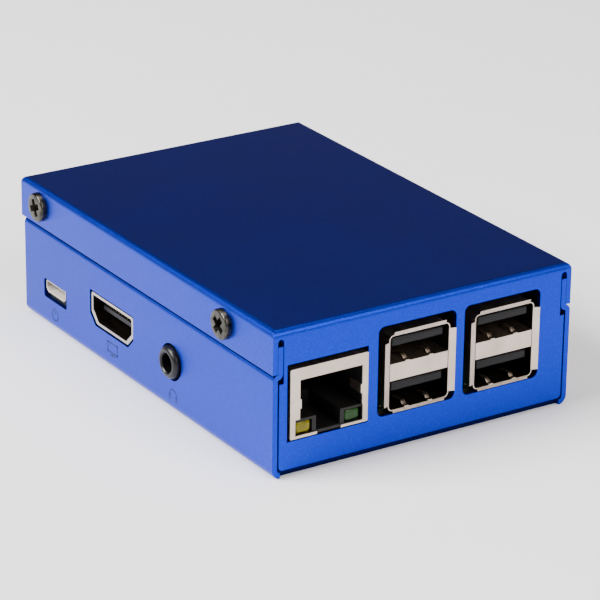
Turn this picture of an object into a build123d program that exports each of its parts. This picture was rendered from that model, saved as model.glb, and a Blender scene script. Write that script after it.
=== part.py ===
from build123d import *
import os

# A credit-card sized single board computer in a two-piece folded aluminium case.
# Frame: origin at the centre of the tray's underside, +X to the USB and Ethernet end,
# -Y to the power, HDMI and audio side, +Z up. Millimetres.

# Case
CASE_LENGTH = 89.6
CASE_WIDTH = 62.7
CASE_HEIGHT = 27.3
SHEET = 1.0
LID_BEND = 1.3
TRAY_BEND = 1.6
FLAP_BOTTOM = 19.4
SEAM = 0.3
FIT_GAP = 0.1
JOGGLE_Z = 19.0
JOGGLE_IN = 1.05
JOGGLE_RISE = 0.38
JOGGLE_BEND = 0.1
LEG_TOP = 25.9
LEG_NOTCH_TOP = 24.4
LEG_NOTCH_LENGTH = 1.6
PANEL_STEP_Z = 17.5
PANEL_CORNER = 0.8
FLOOR_SETBACK = 0.8
RELIEF_RADIUS = 0.55
RELIEF_Z = 25.2
WINDOW_RADIUS = 1.2

# Lid screws, M3 pan heads into clinch nuts
SCREW_XS = (-37.6, 28.7)
SCREW_Z = 23.25
SCREW_HEAD_RADIUS = 2.8
SCREW_HEAD_HEIGHT = 1.1
SCREW_RADIUS = 1.45
SCREW_LENGTH = 4.2
SCREW_HOLE_RADIUS = 1.7
NUT_RADIUS = 2.6
NUT_HEIGHT = 1.5
NUT_BORE_RADIUS = 1.5
RECESS_ARM = 0.24
RECESS_SPAN = 1.2
RECESS_DEPTH = 0.6

# Circuit board and its pillars
BOARD_X = 42.5
BOARD_Y0 = -30.05
BOARD_Y1 = 25.95
BOARD_Z = 5.4
BOARD_THICK = 1.4
BOARD_TOP = BOARD_Z + BOARD_THICK
BOARD_CORNER = 3.0
HOLE_XS = (-39.0, 19.0)
HOLE_YS = (-26.55, 22.45)
BOARD_HOLE_RADIUS = 1.375
PILLAR_RADIUS = 2.6
PILLAR_SHANK_RADIUS = 2.1
PILLAR_BORE_RADIUS = 1.25
BOARD_SCREW_RADIUS = 1.2
BOARD_SCREW_HEAD_RADIUS = 2.25
BOARD_SCREW_HEAD_HEIGHT = 1.6
BOARD_SCREW_LENGTH = 4.6

# Connectors on the port end
PORT_FACE = 45.15
CLEAR = 0.05
SHELL_THICK = 0.3
RJ45_Y = -20.05
RJ45_WIDTH = 15.9
RJ45_TOP = 19.85
RJ45_LENGTH = 21.3
RJ45_MOUTH_Y = -19.65
RJ45_HALF_MOUTH = 6.35
RJ45_MOUTH_Z = (10.2, 17.6)
RJ45_LED_HALF = 6.9
RJ45_LED_Z = (7.3, 10.3)
RJ45_POCKET_Z = (7.3, 9.7)
RJ45_LED_INNER = 3.3
RJ45_LED_DEPTH = 5.0
RJ45_LENS_GAP = 0.15
RJ45_LENS_ROUND = 0.7
RJ45_LENS_RECESS = 0.4
RJ45_TAB_Z = (12.3, 14.0)
RJ45_TAB_LENGTH = 3.5
RJ45_LATCH_HALF = 2.45
RJ45_CAVITY_DEPTH = 14.0
RJ45_CHANNEL_DEPTH = 10.0
RJ45_FLOOR = 0.6
RJ45_PITCH = 1.02
RJ45_CONTACTS = 8
RJ45_WIRE = 0.3
RJ45_WIRE_BEND = 0.5
RJ45_WIRE_PATH = ((2.4, 0.5), (3.2, -0.2), (13.6, -1.9))
USB_YS = (-1.2, 16.95)
USB_WIDTH = 12.8
USB_LENGTH = 17.4
USB_BOTTOM = 7.2
USB_TOP = 21.5
USB_WALL = 0.2
USB_FOOT_BACK = 3.0
USB_BAR_GAP = 0.12
USB_BAR_THICK = 0.4
USB_MOUTH_WIDTH = 12.4
USB_MOUTHS = ((7.4, 12.9), (16.1, 21.3))
USB_CORNER = 0.9
USB_LIP_THICK = 0.3
USB_LIP_HALF_TOP = 5.45
USB_LIP_BACK = 0.42
USB_LIP_SLOPE = 0.34
USB_LIP_SIDE = 1.25
USB_LIP_LOW = 0.55
USB_LIP_HIGH = 0.85
USB_SIDE_LIP_Z = (8.3, 20.3)
USB_CAVITY_DEPTH = 12.5
TONGUE_THICK = 1.84
TONGUE_WIDTH = 11.0
TONGUE_DROP = 0.5
TONGUE_RECESS = 1.0
TONGUE_CHAMFER = 0.3
TONGUE_BED = 2.0
USB_CONTACTS_Y = (-3.5, -1.0, 1.0, 3.5)
USB_CONTACT_BACK = 4.0
USB_CONTACT = (6.5, 1.0, 0.15)
RJ45_WINDOW = (-28.4, -11.9, 6.4, 20.75)
USB_WINDOWS = ((-9.9, 6.45, 6.65, 23.6), (8.2, 24.6, 6.65, 23.75))

# Connectors on the long side
SIDE_FACE = -31.2
POWER_X = -31.95
POWER_CUTOUT = (8.7, 5.7, 9.4)
POWER_SHELL = (7.6, 6.85, 9.25)
HDMI_X = -10.5
HDMI_CUTOUT = (16.0, 6.6, 13.3)
HDMI_SHELL = (15.3, 6.95, 12.95)
HDMI_CHAMFER = 2.0
HDMI_DEPTH = 11.3
HDMI_SHELL_THICK = 0.55
HDMI_OUTER_ROUND = 0.5
HDMI_INNER_ROUND = 0.25
HDMI_TONGUE_RECESS = 1.4
HDMI_TONGUE = (11.2, 0.9)
HDMI_TONGUE_RISE = 0.2
HDMI_BACK = 3.0
HDMI_ROWS = (10, 9)
HDMI_CONTACT = (0.4, 5.6, 0.12)
HDMI_CONTACT_BACK = 3.2
POWER_DEPTH = 5.6
POWER_CHAMFER = 0.7
POWER_ROUND = 0.4
POWER_TONGUE = (3.8, 0.6)
POWER_TONGUE_RECESS = 1.2
POWER_BACK = 1.6
POWER_BACK_RISE = 1.1
JACK_X = 11.0
JACK_Z = 9.5
JACK_HOLE_RADIUS = 3.5
JACK_BARREL_RADIUS = 3.1
JACK_BORE_RADIUS = 1.8
JACK_BORE_LENGTH = 13.0
JACK_TIP = -32.45
JACK_BODY = (7.0, 12.4, 6.2)
JACK_ROUND = 0.5
JACK_NOSE = 0.85
JACK_CHAMFER = 0.25
JACK_TAB_YS = (3.0, 6.2, 9.4)
JACK_TAB = (0.3, 1.6, 3.2)

# Header, flat-cable connectors and chips
HEADER_X = -10.0
HEADER_Y = 22.45
HEADER_PITCH = 2.54
HEADER_COLUMNS = 20
HEADER_ROWS = 2
PIN_WIDTH = 0.64
PIN_HOLE_RADIUS = 0.48
PIN_TOP = 15.3
PIN_BOTTOM = 4.1
PIN_POINT = 0.18
HEADER_CHAMFER = 0.5
FLAT_LENGTH = 22.0
FLAT_WIDTH = 4.2
FLAT_HEIGHT = 5.5
FLAT_SLOT = (1.3, 17.0)
FLAT_FLOOR = 1.2
FLAT_EAR = 1.6
FLAT_LEAD = (0.8, 0.4, 0.5)
FLAT_LEADS = 15
LATCH_HEIGHT = 1.6
LATCH_GAP = 0.15
LATCH_INSET = 0.6
LATCH_CHAMFER = 0.3
LATCH_LEG = 0.6
CHIP_CHAMFER = 0.3
CAN_FOOT = 0.8
CAN_FOOT_CUT = 0.4
CAN_ROUND = 0.3
CRYSTAL = (5.0, 3.2, 1.2)
CRYSTAL_ROUND = 1.0
CRYSTAL_EDGE = 0.25
CAMERA_X = 2.5
CAMERA_Y = -18.6
DISPLAY_X = -38.2
DISPLAY_Y = -2.0

# Memory card and its push-push socket, under the board
SD_Y = -2.05
CARD_LENGTH = 15.0
CARD_WIDTH = 11.0
CARD_NECK_WIDTH = 9.7
CARD_NECK_LENGTH = 6.4
CARD_OUTER_X = -44.9
CARD_Z = 4.15
CARD_THICK = 0.7
CARD_RIDGE = 0.25
CARD_RIDGE_LENGTH = 1.6
CARD_CORNER = 0.3
SOCKET_X = (-42.2, -26.6)
SOCKET_HALF_WIDTH = 7.3
SOCKET_BOTTOM = 3.45
SOCKET_SHEET = 0.2
SOCKET_INSET = 0.4
SOCKET_WALL = 0.5
SOCKET_BACK = 0.6
SOCKET_WINDOW = (9.0, 3.0, 6.0)
SOCKET_TAILS = 8
SOCKET_TAIL = (1.0, 0.4, 0.25)
SOCKET_TAIL_PITCH = 1.1
SLOT_HALF_WIDTH = 6.9
SLOT_Z = (2.6, 5.3)
SLIDER_GAP = 0.1
SLIDER_ARM = 5.0
SLIDER_HOOK = (0.9, 3.2)
SPRING_RADIUS = 0.42
SPRING_WIRE = 0.09
SPRING_LENGTH = 1.2
SPRING_TURNS = 5
SPRING_Y = 3.15

# Component centres and sizes: x, y, length, width, height
PROCESSOR = (-17.0, 1.0, 14.0, 14.0, 1.3)
MEMORY = (-17.0, 1.0, 11.5, 11.5)
MEMORY_THICK = 1.0
USB_NETWORK = (7.6, 6.0, 9.0, 9.0, 1.0)
REGULATOR = (-30.6, -10.2, 5.2, 4.4, 1.4)
AUDIO_FILTER = (8.8, -10.6, 4.0, 3.0, 1.0)
FUSE = (-38.4, -19.4, 3.2, 4.6, 1.0)
INDUCTOR = (4.2, 4.2, 2.0)
CAN = (2.4, 5.4)
CERAMIC = (0.8, 1.6, 0.8)
RESISTOR = (0.8, 1.5, 0.45)
STATUS_LIGHT = (0.9, 1.7, 0.7)
STATUS_PLACES = ((-40.6, 14.6), (-40.6, 17.2))
CAPACITOR_PLACES = (
    [(-16 + 2.2 * i, 12.6) for i in range(8)] + [(-8.0, 8.0 - 2.4 * i) for i in range(6)]
    + [(23.0, -8.5 + 2.3 * i) for i in range(5)] + [(-30.0 + 2.0 * i, -16.8) for i in range(5)]
    + [(14.2, 2.0 + 2.1 * i) for i in range(5)]
)
RESISTOR_PLACES = (
    [(-2.0 + 1.9 * i, 15.6) for i in range(9)] + [(-28.0, 4.0 + 1.7 * i) for i in range(7)]
    + [(14.4, -5.0 - 1.6 * i) for i in range(6)] + [(-24.0 + 1.7 * i, -20.4) for i in range(3)]
)
INDUCTOR_PLACES = ((-31.5, -21.2), (-25.4, -24.6))
CAN_PLACES = ((-20.6, -13.0), (18.6, -14.6))
CRYSTAL_PLACES = ((-12.0, -9.6), (19.0, 12.6))

FRONT_X = CASE_LENGTH / 2
WALL_Y = CASE_WIDTH / 2
LEG_OUTER_Y = WALL_Y - JOGGLE_IN
LEG_INNER_Y = LEG_OUTER_Y - SHEET
PANEL_LOW_Y = WALL_Y - SHEET - SEAM
PANEL_HIGH_Y = LEG_INNER_Y - SEAM / 2
BACK_X = -FRONT_X + SHEET + FIT_GAP

os.makedirs("parts", exist_ok=True)


def block(x_span, y_span, z_span):
    """Box between two limits along each axis."""
    spans = (x_span, y_span, z_span)
    middle = [(low + high) / 2 for low, high in spans]
    return Pos(*middle) * Box(*[high - low for low, high in spans])


def centred(x, y, width_x, width_y, z_span):
    """Box centred at x, y, over a height span."""
    return block((x - width_x / 2, x + width_x / 2), (y - width_y / 2, y + width_y / 2), z_span)


def upright(x, y, radius, z_span):
    """Cylinder along Z."""
    return Pos(x, y, sum(z_span) / 2) * Cylinder(radius, z_span[1] - z_span[0])


def across(x, z, radius, y_span):
    """Cylinder along Y."""
    return Pos(x, sum(y_span) / 2, z) * Rot(90, 0, 0) * Cylinder(radius, y_span[1] - y_span[0])


def folded(points, radii, plane, length):
    """Sheet bent along the outer path, extruded from the plane."""
    path = FilletPolyline(*points, radius=radii)
    section = make_face(path.offset_2d(SHEET, side=Side.LEFT))
    return extrude(plane * section, length)


def rounded(solid, axis, radius):
    """Solid with every edge along the axis rounded."""
    return fillet(solid.edges().filter_by(axis), radius)


def joined(solids):
    """Separate solids kept together as one node."""
    return Compound(children=list(solids))


def window(y0, y1, z0, z1, radius):
    """Cutter for a window in the port panel."""
    cutter = block((FRONT_X - 3 * SHEET, FRONT_X + SHEET), (y0, y1), (z0, z1))
    return rounded(cutter, Axis.X, radius) if radius else cutter


def long_wall_hole(x, width, z0, z1):
    """Cutter for a cut-out in the -Y wall."""
    return centred(x, -WALL_Y, width, 4 * SHEET, (z0, z1))


def tray_side_profile():
    """Outer path of the tray's section across its width, from the -Y leg to the +Y leg."""
    half = (
        (LEG_OUTER_Y, LEG_TOP),
        (LEG_OUTER_Y, JOGGLE_Z + JOGGLE_RISE),
        (WALL_Y, JOGGLE_Z),
        (WALL_Y, 0),
    )
    left = [(-y, z) for y, z in half]
    right = [(y, z) for y, z in reversed(half)]
    return left + right


def base_tray():
    """Tray: bottom, two long walls with a joggled upper leg, and the back wall."""
    inner = JOGGLE_BEND + SHEET
    radii = [JOGGLE_BEND, inner, TRAY_BEND, TRAY_BEND, inner, JOGGLE_BEND]
    end_plane = Plane(origin=(BACK_X, 0, 0), x_dir=(0, 1, 0), z_dir=(1, 0, 0))
    tray = folded(tray_side_profile(), radii, end_plane, FRONT_X - BACK_X)
    bend_x = BACK_X + TRAY_BEND + SEAM
    back_half = WALL_Y - TRAY_BEND - SEAM
    tray -= block((BACK_X - SHEET, bend_x), (-back_half, back_half), (-SHEET, TRAY_BEND + SEAM))
    back_path = [(BACK_X, LEG_TOP), (BACK_X, 0), (bend_x, 0)]
    back_plane = Plane(origin=(0, PANEL_LOW_Y, 0), x_dir=(1, 0, 0), z_dir=(0, -1, 0))
    back = folded(back_path, [TRAY_BEND], back_plane, 2 * PANEL_LOW_Y)
    for side in (-1, 1):
        beside = sorted((side * (back_half - FIT_GAP), side * WALL_Y))
        back -= block((BACK_X - SHEET, bend_x), beside, (-SHEET, TRAY_BEND + SEAM))
        above = sorted((side * PANEL_HIGH_Y, side * WALL_Y))
        back -= block((BACK_X - SHEET, bend_x), above, (PANEL_STEP_Z, CASE_HEIGHT))
        notch_y = sorted((0, side * WALL_Y))
        tray -= block((FRONT_X - LEG_NOTCH_LENGTH, FRONT_X), notch_y, (LEG_NOTCH_TOP, CASE_HEIGHT))
    floor_half = WALL_Y - TRAY_BEND
    tray -= block((FRONT_X - FLOOR_SETBACK, FRONT_X), (-floor_half, floor_half), (-SHEET, TRAY_BEND))
    tray += back
    shank_hole = PILLAR_SHANK_RADIUS + CLEAR
    tray -= [upright(x, y, shank_hole, (-SHEET, 2 * SHEET)) for x in HOLE_XS for y in HOLE_YS]
    tray -= [nut_hole(x, side) for x in SCREW_XS for side in (-1, 1)]
    slot_y = (SD_Y - SLOT_HALF_WIDTH, SD_Y + SLOT_HALF_WIDTH)
    return tray - [side_cutouts(), block((BACK_X - SHEET, BACK_X + 2 * SHEET), slot_y, SLOT_Z)]


def nut_hole(x, side):
    """Cutter for a clinch nut's shank in one long leg of the tray."""
    return across(x, SCREW_Z, NUT_RADIUS - SHEET / 2 + CLEAR, sorted((side * CASE_WIDTH, side * SHEET)))


def side_cutouts():
    """Cut-outs for power, HDMI and audio in the -Y wall."""
    power = rounded(long_wall_hole(POWER_X, *POWER_CUTOUT), Axis.Y, SHEET / 2)
    hdmi = long_wall_hole(HDMI_X, *HDMI_CUTOUT)
    low_edges = hdmi.edges().filter_by(Axis.Y).sort_by(Axis.Z)[:2]
    hdmi = chamfer(low_edges, HDMI_CHAMFER)
    jack = across(JACK_X, JACK_Z, JACK_HOLE_RADIUS, (-WALL_Y - SHEET, -WALL_Y + 2 * SHEET))
    return power + hdmi + jack


def lid_cover():
    """Lid: top, flaps on three sides and the full-height port panel."""
    lid = block((-FRONT_X, FRONT_X), (-WALL_Y, WALL_Y), (SHEET + SEAM, CASE_HEIGHT))
    lid = fillet(lid.faces().sort_by(Axis.Z)[-1].edges(), LID_BEND)
    in_x = FRONT_X - SHEET
    in_y = WALL_Y - SHEET
    lid -= block((-in_x, in_x), (-in_y, in_y), (0, CASE_HEIGHT - SHEET))
    lid -= block((-FRONT_X, in_x), (-WALL_Y, WALL_Y), (0, FLAP_BOTTOM))
    for side in (-1, 1):
        slot = sorted((side * PANEL_HIGH_Y, side * in_y))
        relief_y = sum(slot) / 2
        lid -= block((in_x - SEAM, FRONT_X), slot, (PANEL_STEP_Z, RELIEF_Z))
        lid -= Pos(FRONT_X, relief_y, RELIEF_Z) * Rot(0, 90, 0) * Cylinder(RELIEF_RADIUS, 4 * SHEET)
        lid -= block((in_x, FRONT_X), sorted((side * PANEL_LOW_Y, side * WALL_Y)), (0, FLAP_BOTTOM))
        back_slot = sorted((side * PANEL_LOW_Y, side * in_y))
        lid -= block((-FRONT_X, -in_x), back_slot, (0, RELIEF_Z))
    low_corners = lid.edges().filter_by(Axis.X).group_by(Axis.Z)[0]
    lid = fillet(low_corners, PANEL_CORNER)
    lid -= window(*RJ45_WINDOW, 0)
    lid -= [window(*spec, WINDOW_RADIUS) for spec in USB_WINDOWS]
    lid -= [across(x, SCREW_Z, SCREW_HOLE_RADIUS, (-CASE_WIDTH, CASE_WIDTH)) for x in SCREW_XS]
    return lid


def lid_screw(x, side):
    """Pan-head screw with a cross recess, through the flap into its clinch nut."""
    head = Cylinder(SCREW_HEAD_RADIUS, SCREW_HEAD_HEIGHT, align=(Align.CENTER, Align.CENTER, Align.MIN))
    head = fillet(head.edges().sort_by(Axis.Z)[-1], SCREW_HEAD_HEIGHT / 2)
    shank = Cylinder(SCREW_RADIUS, SCREW_LENGTH, align=(Align.CENTER, Align.CENTER, Align.MAX))
    head -= cross_recess(SCREW_HEAD_RADIUS, SCREW_HEAD_HEIGHT)
    return Pos(x, side * WALL_Y, SCREW_Z) * Rot(-90 * side, 0, 0) * (head + shank)


def cross_recess(head_radius, head_height):
    """Cutter for a cross recess in a head whose top is at head_height."""
    width = head_radius * RECESS_ARM
    length = head_radius * RECESS_SPAN
    depth = 2 * head_height * RECESS_DEPTH
    centre = Pos(0, 0, head_height)
    return centre * Box(length, width, depth) + centre * Box(width, length, depth)


def clinch_nut(x, side):
    """Round clinch nut with its knurled shank in the tray's leg."""
    face = LEG_INNER_Y
    flange = across(x, SCREW_Z, NUT_RADIUS, sorted((side * (face - NUT_HEIGHT), side * face)))
    shank = across(x, SCREW_Z, NUT_RADIUS - SHEET / 2, sorted((side * face, side * LEG_OUTER_Y)))
    bore = across(x, SCREW_Z, NUT_BORE_RADIUS, sorted((side * SHEET, side * CASE_WIDTH)))
    return flange + shank - bore


def pillar(x, y):
    """Threaded pillar pressed into the tray's bottom."""
    body = upright(x, y, PILLAR_RADIUS, (SHEET, BOARD_Z)) + upright(x, y, PILLAR_SHANK_RADIUS, (0, SHEET))
    return body - upright(x, y, PILLAR_BORE_RADIUS, (SHEET, 2 * BOARD_Z))


def board_screw(x, y):
    """Short pan-head screw that holds the board on its pillar."""
    head = upright(x, y, BOARD_SCREW_HEAD_RADIUS, (BOARD_TOP, BOARD_TOP + BOARD_SCREW_HEAD_HEIGHT))
    head = fillet(head.edges().sort_by(Axis.Z)[-1], BOARD_SCREW_HEAD_HEIGHT / 2)
    head -= Pos(x, y, BOARD_TOP) * cross_recess(BOARD_SCREW_HEAD_RADIUS, BOARD_SCREW_HEAD_HEIGHT)
    return head + upright(x, y, BOARD_SCREW_RADIUS, (BOARD_TOP - BOARD_SCREW_LENGTH, BOARD_TOP))


def circuit_board():
    """Board with rounded corners, fixing holes and a hole for each header pin."""
    board = block((-BOARD_X, BOARD_X), (BOARD_Y0, BOARD_Y1), (BOARD_Z, BOARD_TOP))
    board = rounded(board, Axis.Z, BOARD_CORNER)
    drill = (BOARD_Z - SHEET, BOARD_TOP + SHEET)
    board -= [upright(x, y, BOARD_HOLE_RADIUS, drill) for x in HOLE_XS for y in HOLE_YS]
    board -= [upright(x, y, PIN_HOLE_RADIUS, drill) for x, y in header_places()]
    return board


def ethernet_front(x_span):
    """Cutter for the mouth, the light windows and the latch notch of the network jack."""
    low, high = RJ45_MOUTH_Z
    mouth = block(x_span, ethernet_mouth(0), (low, high))
    lights = block(x_span, (RJ45_Y - RJ45_LED_HALF, RJ45_Y + RJ45_LED_HALF), RJ45_LED_Z)
    notch = block(x_span, (RJ45_Y - RJ45_LATCH_HALF, RJ45_Y + RJ45_LATCH_HALF), (0, low))
    return mouth + lights + notch


def ethernet_mouth(margin):
    """Limits of the network jack's mouth across the board, widened by a margin."""
    return RJ45_MOUTH_Y - RJ45_HALF_MOUTH - margin, RJ45_MOUTH_Y + RJ45_HALF_MOUTH + margin


def ethernet_shield():
    """Folded shield of the network jack, open underneath and at its mouth."""
    half = RJ45_WIDTH / 2
    inner = half - SHELL_THICK
    back = PORT_FACE - RJ45_LENGTH
    shield = block((back, PORT_FACE), (RJ45_Y - half, RJ45_Y + half), (BOARD_TOP, RJ45_TOP))
    shield = rounded(shield, Axis.X, SHELL_THICK)
    shield -= block((back + SHELL_THICK, PORT_FACE - SHELL_THICK), (RJ45_Y - inner, RJ45_Y + inner),
                    (0, RJ45_TOP - SHELL_THICK))
    shield -= ethernet_front((PORT_FACE - 2 * SHELL_THICK, PORT_FACE + SHEET))
    tab_in = ethernet_mouth(-SHELL_THICK)
    tab_root = ethernet_mouth(CLEAR)
    tab_out = ethernet_mouth(-CLEAR)
    for side in (0, 1):
        root = sorted((tab_in[side], tab_root[side]))
        leaf = sorted((tab_in[side], tab_out[side]))
        shield += block((PORT_FACE - SHELL_THICK, PORT_FACE), root, RJ45_TAB_Z)
        shield += block((PORT_FACE - RJ45_TAB_LENGTH, PORT_FACE), leaf, RJ45_TAB_Z)
    return shield


def ethernet_housing():
    """Moulded insert of the network jack with the plug cavity and latch channel."""
    half = RJ45_WIDTH / 2 - SHELL_THICK - CLEAR
    face = PORT_FACE - SHELL_THICK - CLEAR
    back = PORT_FACE - RJ45_LENGTH + SHELL_THICK + CLEAR
    body = block((back, face), (RJ45_Y - half, RJ45_Y + half),
                 (BOARD_TOP, RJ45_TOP - SHELL_THICK - CLEAR))
    depth = face - RJ45_CAVITY_DEPTH
    channel_y = (RJ45_Y - RJ45_LATCH_HALF, RJ45_Y + RJ45_LATCH_HALF)
    channel_z = (BOARD_TOP + RJ45_FLOOR, RJ45_MOUTH_Z[0] + SHEET)
    body -= block((depth, face), ethernet_mouth(0), RJ45_MOUTH_Z)
    body -= block((face - RJ45_CHANNEL_DEPTH, face), channel_y, channel_z)
    body -= [light_window(side) for side in (-1, 1)]
    slot_z = (RJ45_MOUTH_Z[1] - SHEET, RJ45_MOUTH_Z[1] + SHEET)
    slots = [block((depth, face - SHEET), (y - RJ45_WIRE, y + RJ45_WIRE), slot_z)
             for y in ethernet_contact_ys()]
    return body - slots


def ethernet_contact_ys():
    """Places of the spring contacts across the network jack."""
    return [RJ45_MOUTH_Y + (i - (RJ45_CONTACTS - 1) / 2) * RJ45_PITCH for i in range(RJ45_CONTACTS)]


def light_window(side):
    """Cutter for the pocket of an indicator light in a lower corner of the network jack."""
    y_span = sorted((RJ45_Y + side * RJ45_LED_INNER, RJ45_Y + side * RJ45_LED_HALF))
    return block((PORT_FACE - RJ45_LED_DEPTH, PORT_FACE), y_span, RJ45_POCKET_Z)


def indicator_lens(side):
    """Clear lens of an indicator light, domed at the front."""
    y_near, y_far = RJ45_LED_INNER + RJ45_LENS_GAP, RJ45_LED_HALF - 2 * RJ45_LENS_GAP
    lens = block((PORT_FACE - RJ45_LED_DEPTH + CLEAR, PORT_FACE - RJ45_LENS_RECESS),
                 sorted((RJ45_Y + side * y_near, RJ45_Y + side * y_far)),
                 (RJ45_POCKET_Z[0] + CLEAR, RJ45_POCKET_Z[1] - CLEAR))
    lens = rounded(lens, Axis.X, RJ45_LENS_ROUND)
    return fillet(lens.faces().sort_by(Axis.X)[-1].edges(), RJ45_LENS_ROUND)


def ethernet_contacts():
    """Eight sprung wires that slope down from the mouth's roof."""
    path = [(PORT_FACE - back, RJ45_MOUTH_Z[1] + rise) for back, rise in RJ45_WIRE_PATH]
    line = FilletPolyline(*path, radius=[RJ45_WIRE_BEND])
    face = make_face(line.offset_2d(RJ45_WIRE, side=Side.RIGHT))
    wires = []
    for y in ethernet_contact_ys():
        plane = Plane(origin=(0, y + RJ45_WIRE / 2, 0), x_dir=(1, 0, 0), z_dir=(0, -1, 0))
        wires.append(extrude(plane * face, RJ45_WIRE))
    return joined(wires)


def usb_shell(y):
    """Stacked double USB shell with turned-out lips and a bar between its two mouths."""
    half = USB_WIDTH / 2
    mouth = USB_MOUTH_WIDTH / 2
    back = PORT_FACE - USB_LENGTH
    front = PORT_FACE - USB_LIP_BACK
    base = front - USB_CAVITY_DEPTH
    (low, bar_low), (bar_high, high) = USB_MOUTHS
    shell = rounded(block((back, front), (y - half, y + half), (USB_BOTTOM, USB_TOP)), Axis.X, USB_CORNER)
    cavity = block((base, PORT_FACE), (y - mouth, y + mouth), (low, high))
    shell -= rounded(cavity, Axis.X, USB_CORNER - USB_WALL)
    shell += block((back, front - USB_FOOT_BACK), (y - mouth, y + mouth), (BOARD_TOP + CLEAR, low))
    bar_half = mouth - USB_BAR_GAP
    bar = block((front - USB_BAR_THICK, front), (y - bar_half, y + bar_half), (bar_low, bar_high))
    for z_span in ((bar_low, bar_low + SHELL_THICK), (bar_high - SHELL_THICK, bar_high)):
        bar += block((base, front - USB_BAR_THICK), (y - mouth, y + mouth), z_span)
    return shell + bar + usb_lips(y)


def usb_lip(plane, root, reach, half_length):
    """Lip that runs outwards and a little forwards from an edge of a USB mouth."""
    tip = USB_LIP_SLOPE * reach - USB_LIP_BACK
    back = USB_LIP_BACK + USB_LIP_THICK
    corners = ((-back, root), (-USB_LIP_BACK, root), (tip, root + reach), (tip - USB_LIP_THICK, root + reach))
    return extrude(plane * make_face(Polyline(*corners, close=True)), half_length, both=True)


def usb_lips(y):
    """Four lips round the mouths of a double USB shell."""
    ahead = (1, 0, 0)
    low, high = USB_MOUTHS[0][0], USB_MOUTHS[1][1]
    middle = sum(USB_SIDE_LIP_Z) / 2
    half_side = (USB_SIDE_LIP_Z[1] - USB_SIDE_LIP_Z[0]) / 2
    lips = []
    for side in (-1, 1):
        plane = Plane(origin=(PORT_FACE, y, middle), x_dir=ahead, z_dir=(0, 0, side))
        lips.append(usb_lip(plane, USB_MOUTH_WIDTH / 2, USB_LIP_SIDE, half_side))
    for z, up, reach in ((low, 1, USB_LIP_LOW), (high, -1, USB_LIP_HIGH)):
        plane = Plane(origin=(PORT_FACE, y, z), x_dir=ahead, z_dir=(0, up, 0))
        lips.append(usb_lip(plane, 0, reach, USB_LIP_HALF_TOP))
    return lips


def usb_tongues(y):
    """Two moulded tongues, each on a bed that fills the back of its mouth."""
    base = PORT_FACE - USB_LIP_BACK - USB_CAVITY_DEPTH + CLEAR
    bed_half = USB_MOUTH_WIDTH / 2 - CLEAR
    tongues = []
    for low, high in USB_MOUTHS:
        bed = block((base, base + TONGUE_BED), (y - bed_half, y + bed_half), (low + CLEAR, high - CLEAR))
        bed = rounded(bed, Axis.X, USB_CORNER - USB_WALL)
        top = high - TONGUE_DROP
        tongue = block((base, PORT_FACE - TONGUE_RECESS), (y - TONGUE_WIDTH / 2, y + TONGUE_WIDTH / 2),
                       (top - TONGUE_THICK, top))
        tongue = chamfer(tongue.edges().group_by(Axis.X)[-1].filter_by(Axis.Y), TONGUE_CHAMFER)
        tongues.append(bed + tongue)
    return joined(tongues)


def usb_contacts(y):
    """Four flat contacts under each tongue."""
    length, width, thick = USB_CONTACT
    strips = []
    for low, high in USB_MOUTHS:
        face = high - TONGUE_DROP - TONGUE_THICK
        for offset in USB_CONTACTS_Y:
            x = PORT_FACE - TONGUE_RECESS - USB_CONTACT_BACK
            strips.append(centred(x, y + offset, length, width, (face - thick, face)))
    return joined(strips)


def d_shell(x, spec, corner, thick):
    """Flat connector shell with chamfered lower corners, open to -Y."""
    width, z0, z1 = spec
    y_span = (SIDE_FACE, SIDE_FACE + HDMI_DEPTH)
    outer = block((x - width / 2, x + width / 2), y_span, (z0, z1))
    outer = chamfer(outer.edges().filter_by(Axis.Y).sort_by(Axis.Z)[:2], corner)
    inner = block((x - width / 2 + thick, x + width / 2 - thick), y_span, (z0 + thick, z1 - thick))
    inner = chamfer(inner.edges().filter_by(Axis.Y).sort_by(Axis.Z)[:2], corner)
    return rounded(outer, Axis.Y, HDMI_OUTER_ROUND), rounded(inner, Axis.Y, HDMI_INNER_ROUND)


def hdmi_parts():
    """Shell, tongue and contacts of the HDMI socket."""
    outer, inner = d_shell(HDMI_X, HDMI_SHELL, HDMI_CHAMFER, HDMI_SHELL_THICK)
    shell = outer - Pos(0, -HDMI_SHELL_THICK, 0) * inner
    width, z0, z1 = HDMI_SHELL
    inset = HDMI_SHELL_THICK + CLEAR
    back = SIDE_FACE + HDMI_DEPTH - inset
    plug_z = (z0 + HDMI_CHAMFER + inset, z1 - inset)
    plug = centred(HDMI_X, back - HDMI_BACK / 2, width - 2 * inset, HDMI_BACK, plug_z)
    tongue_width, tongue_thick = HDMI_TONGUE
    middle = (z0 + z1) / 2 + HDMI_TONGUE_RISE
    low, high = middle - tongue_thick / 2, middle + tongue_thick / 2
    front = SIDE_FACE + HDMI_TONGUE_RECESS
    tongue = block((HDMI_X - tongue_width / 2, HDMI_X + tongue_width / 2), (front, back), (low, high))
    strip_width, strip_length, strip_thick = HDMI_CONTACT
    strips = []
    for face, count in zip((high, low - strip_thick), HDMI_ROWS):
        for i in range(count):
            x = HDMI_X + (i - (count - 1) / 2)
            strips.append(centred(x, front + HDMI_CONTACT_BACK, strip_width, strip_length,
                                  (face, face + strip_thick)))
    return shell, plug + tongue, joined(strips)


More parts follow.
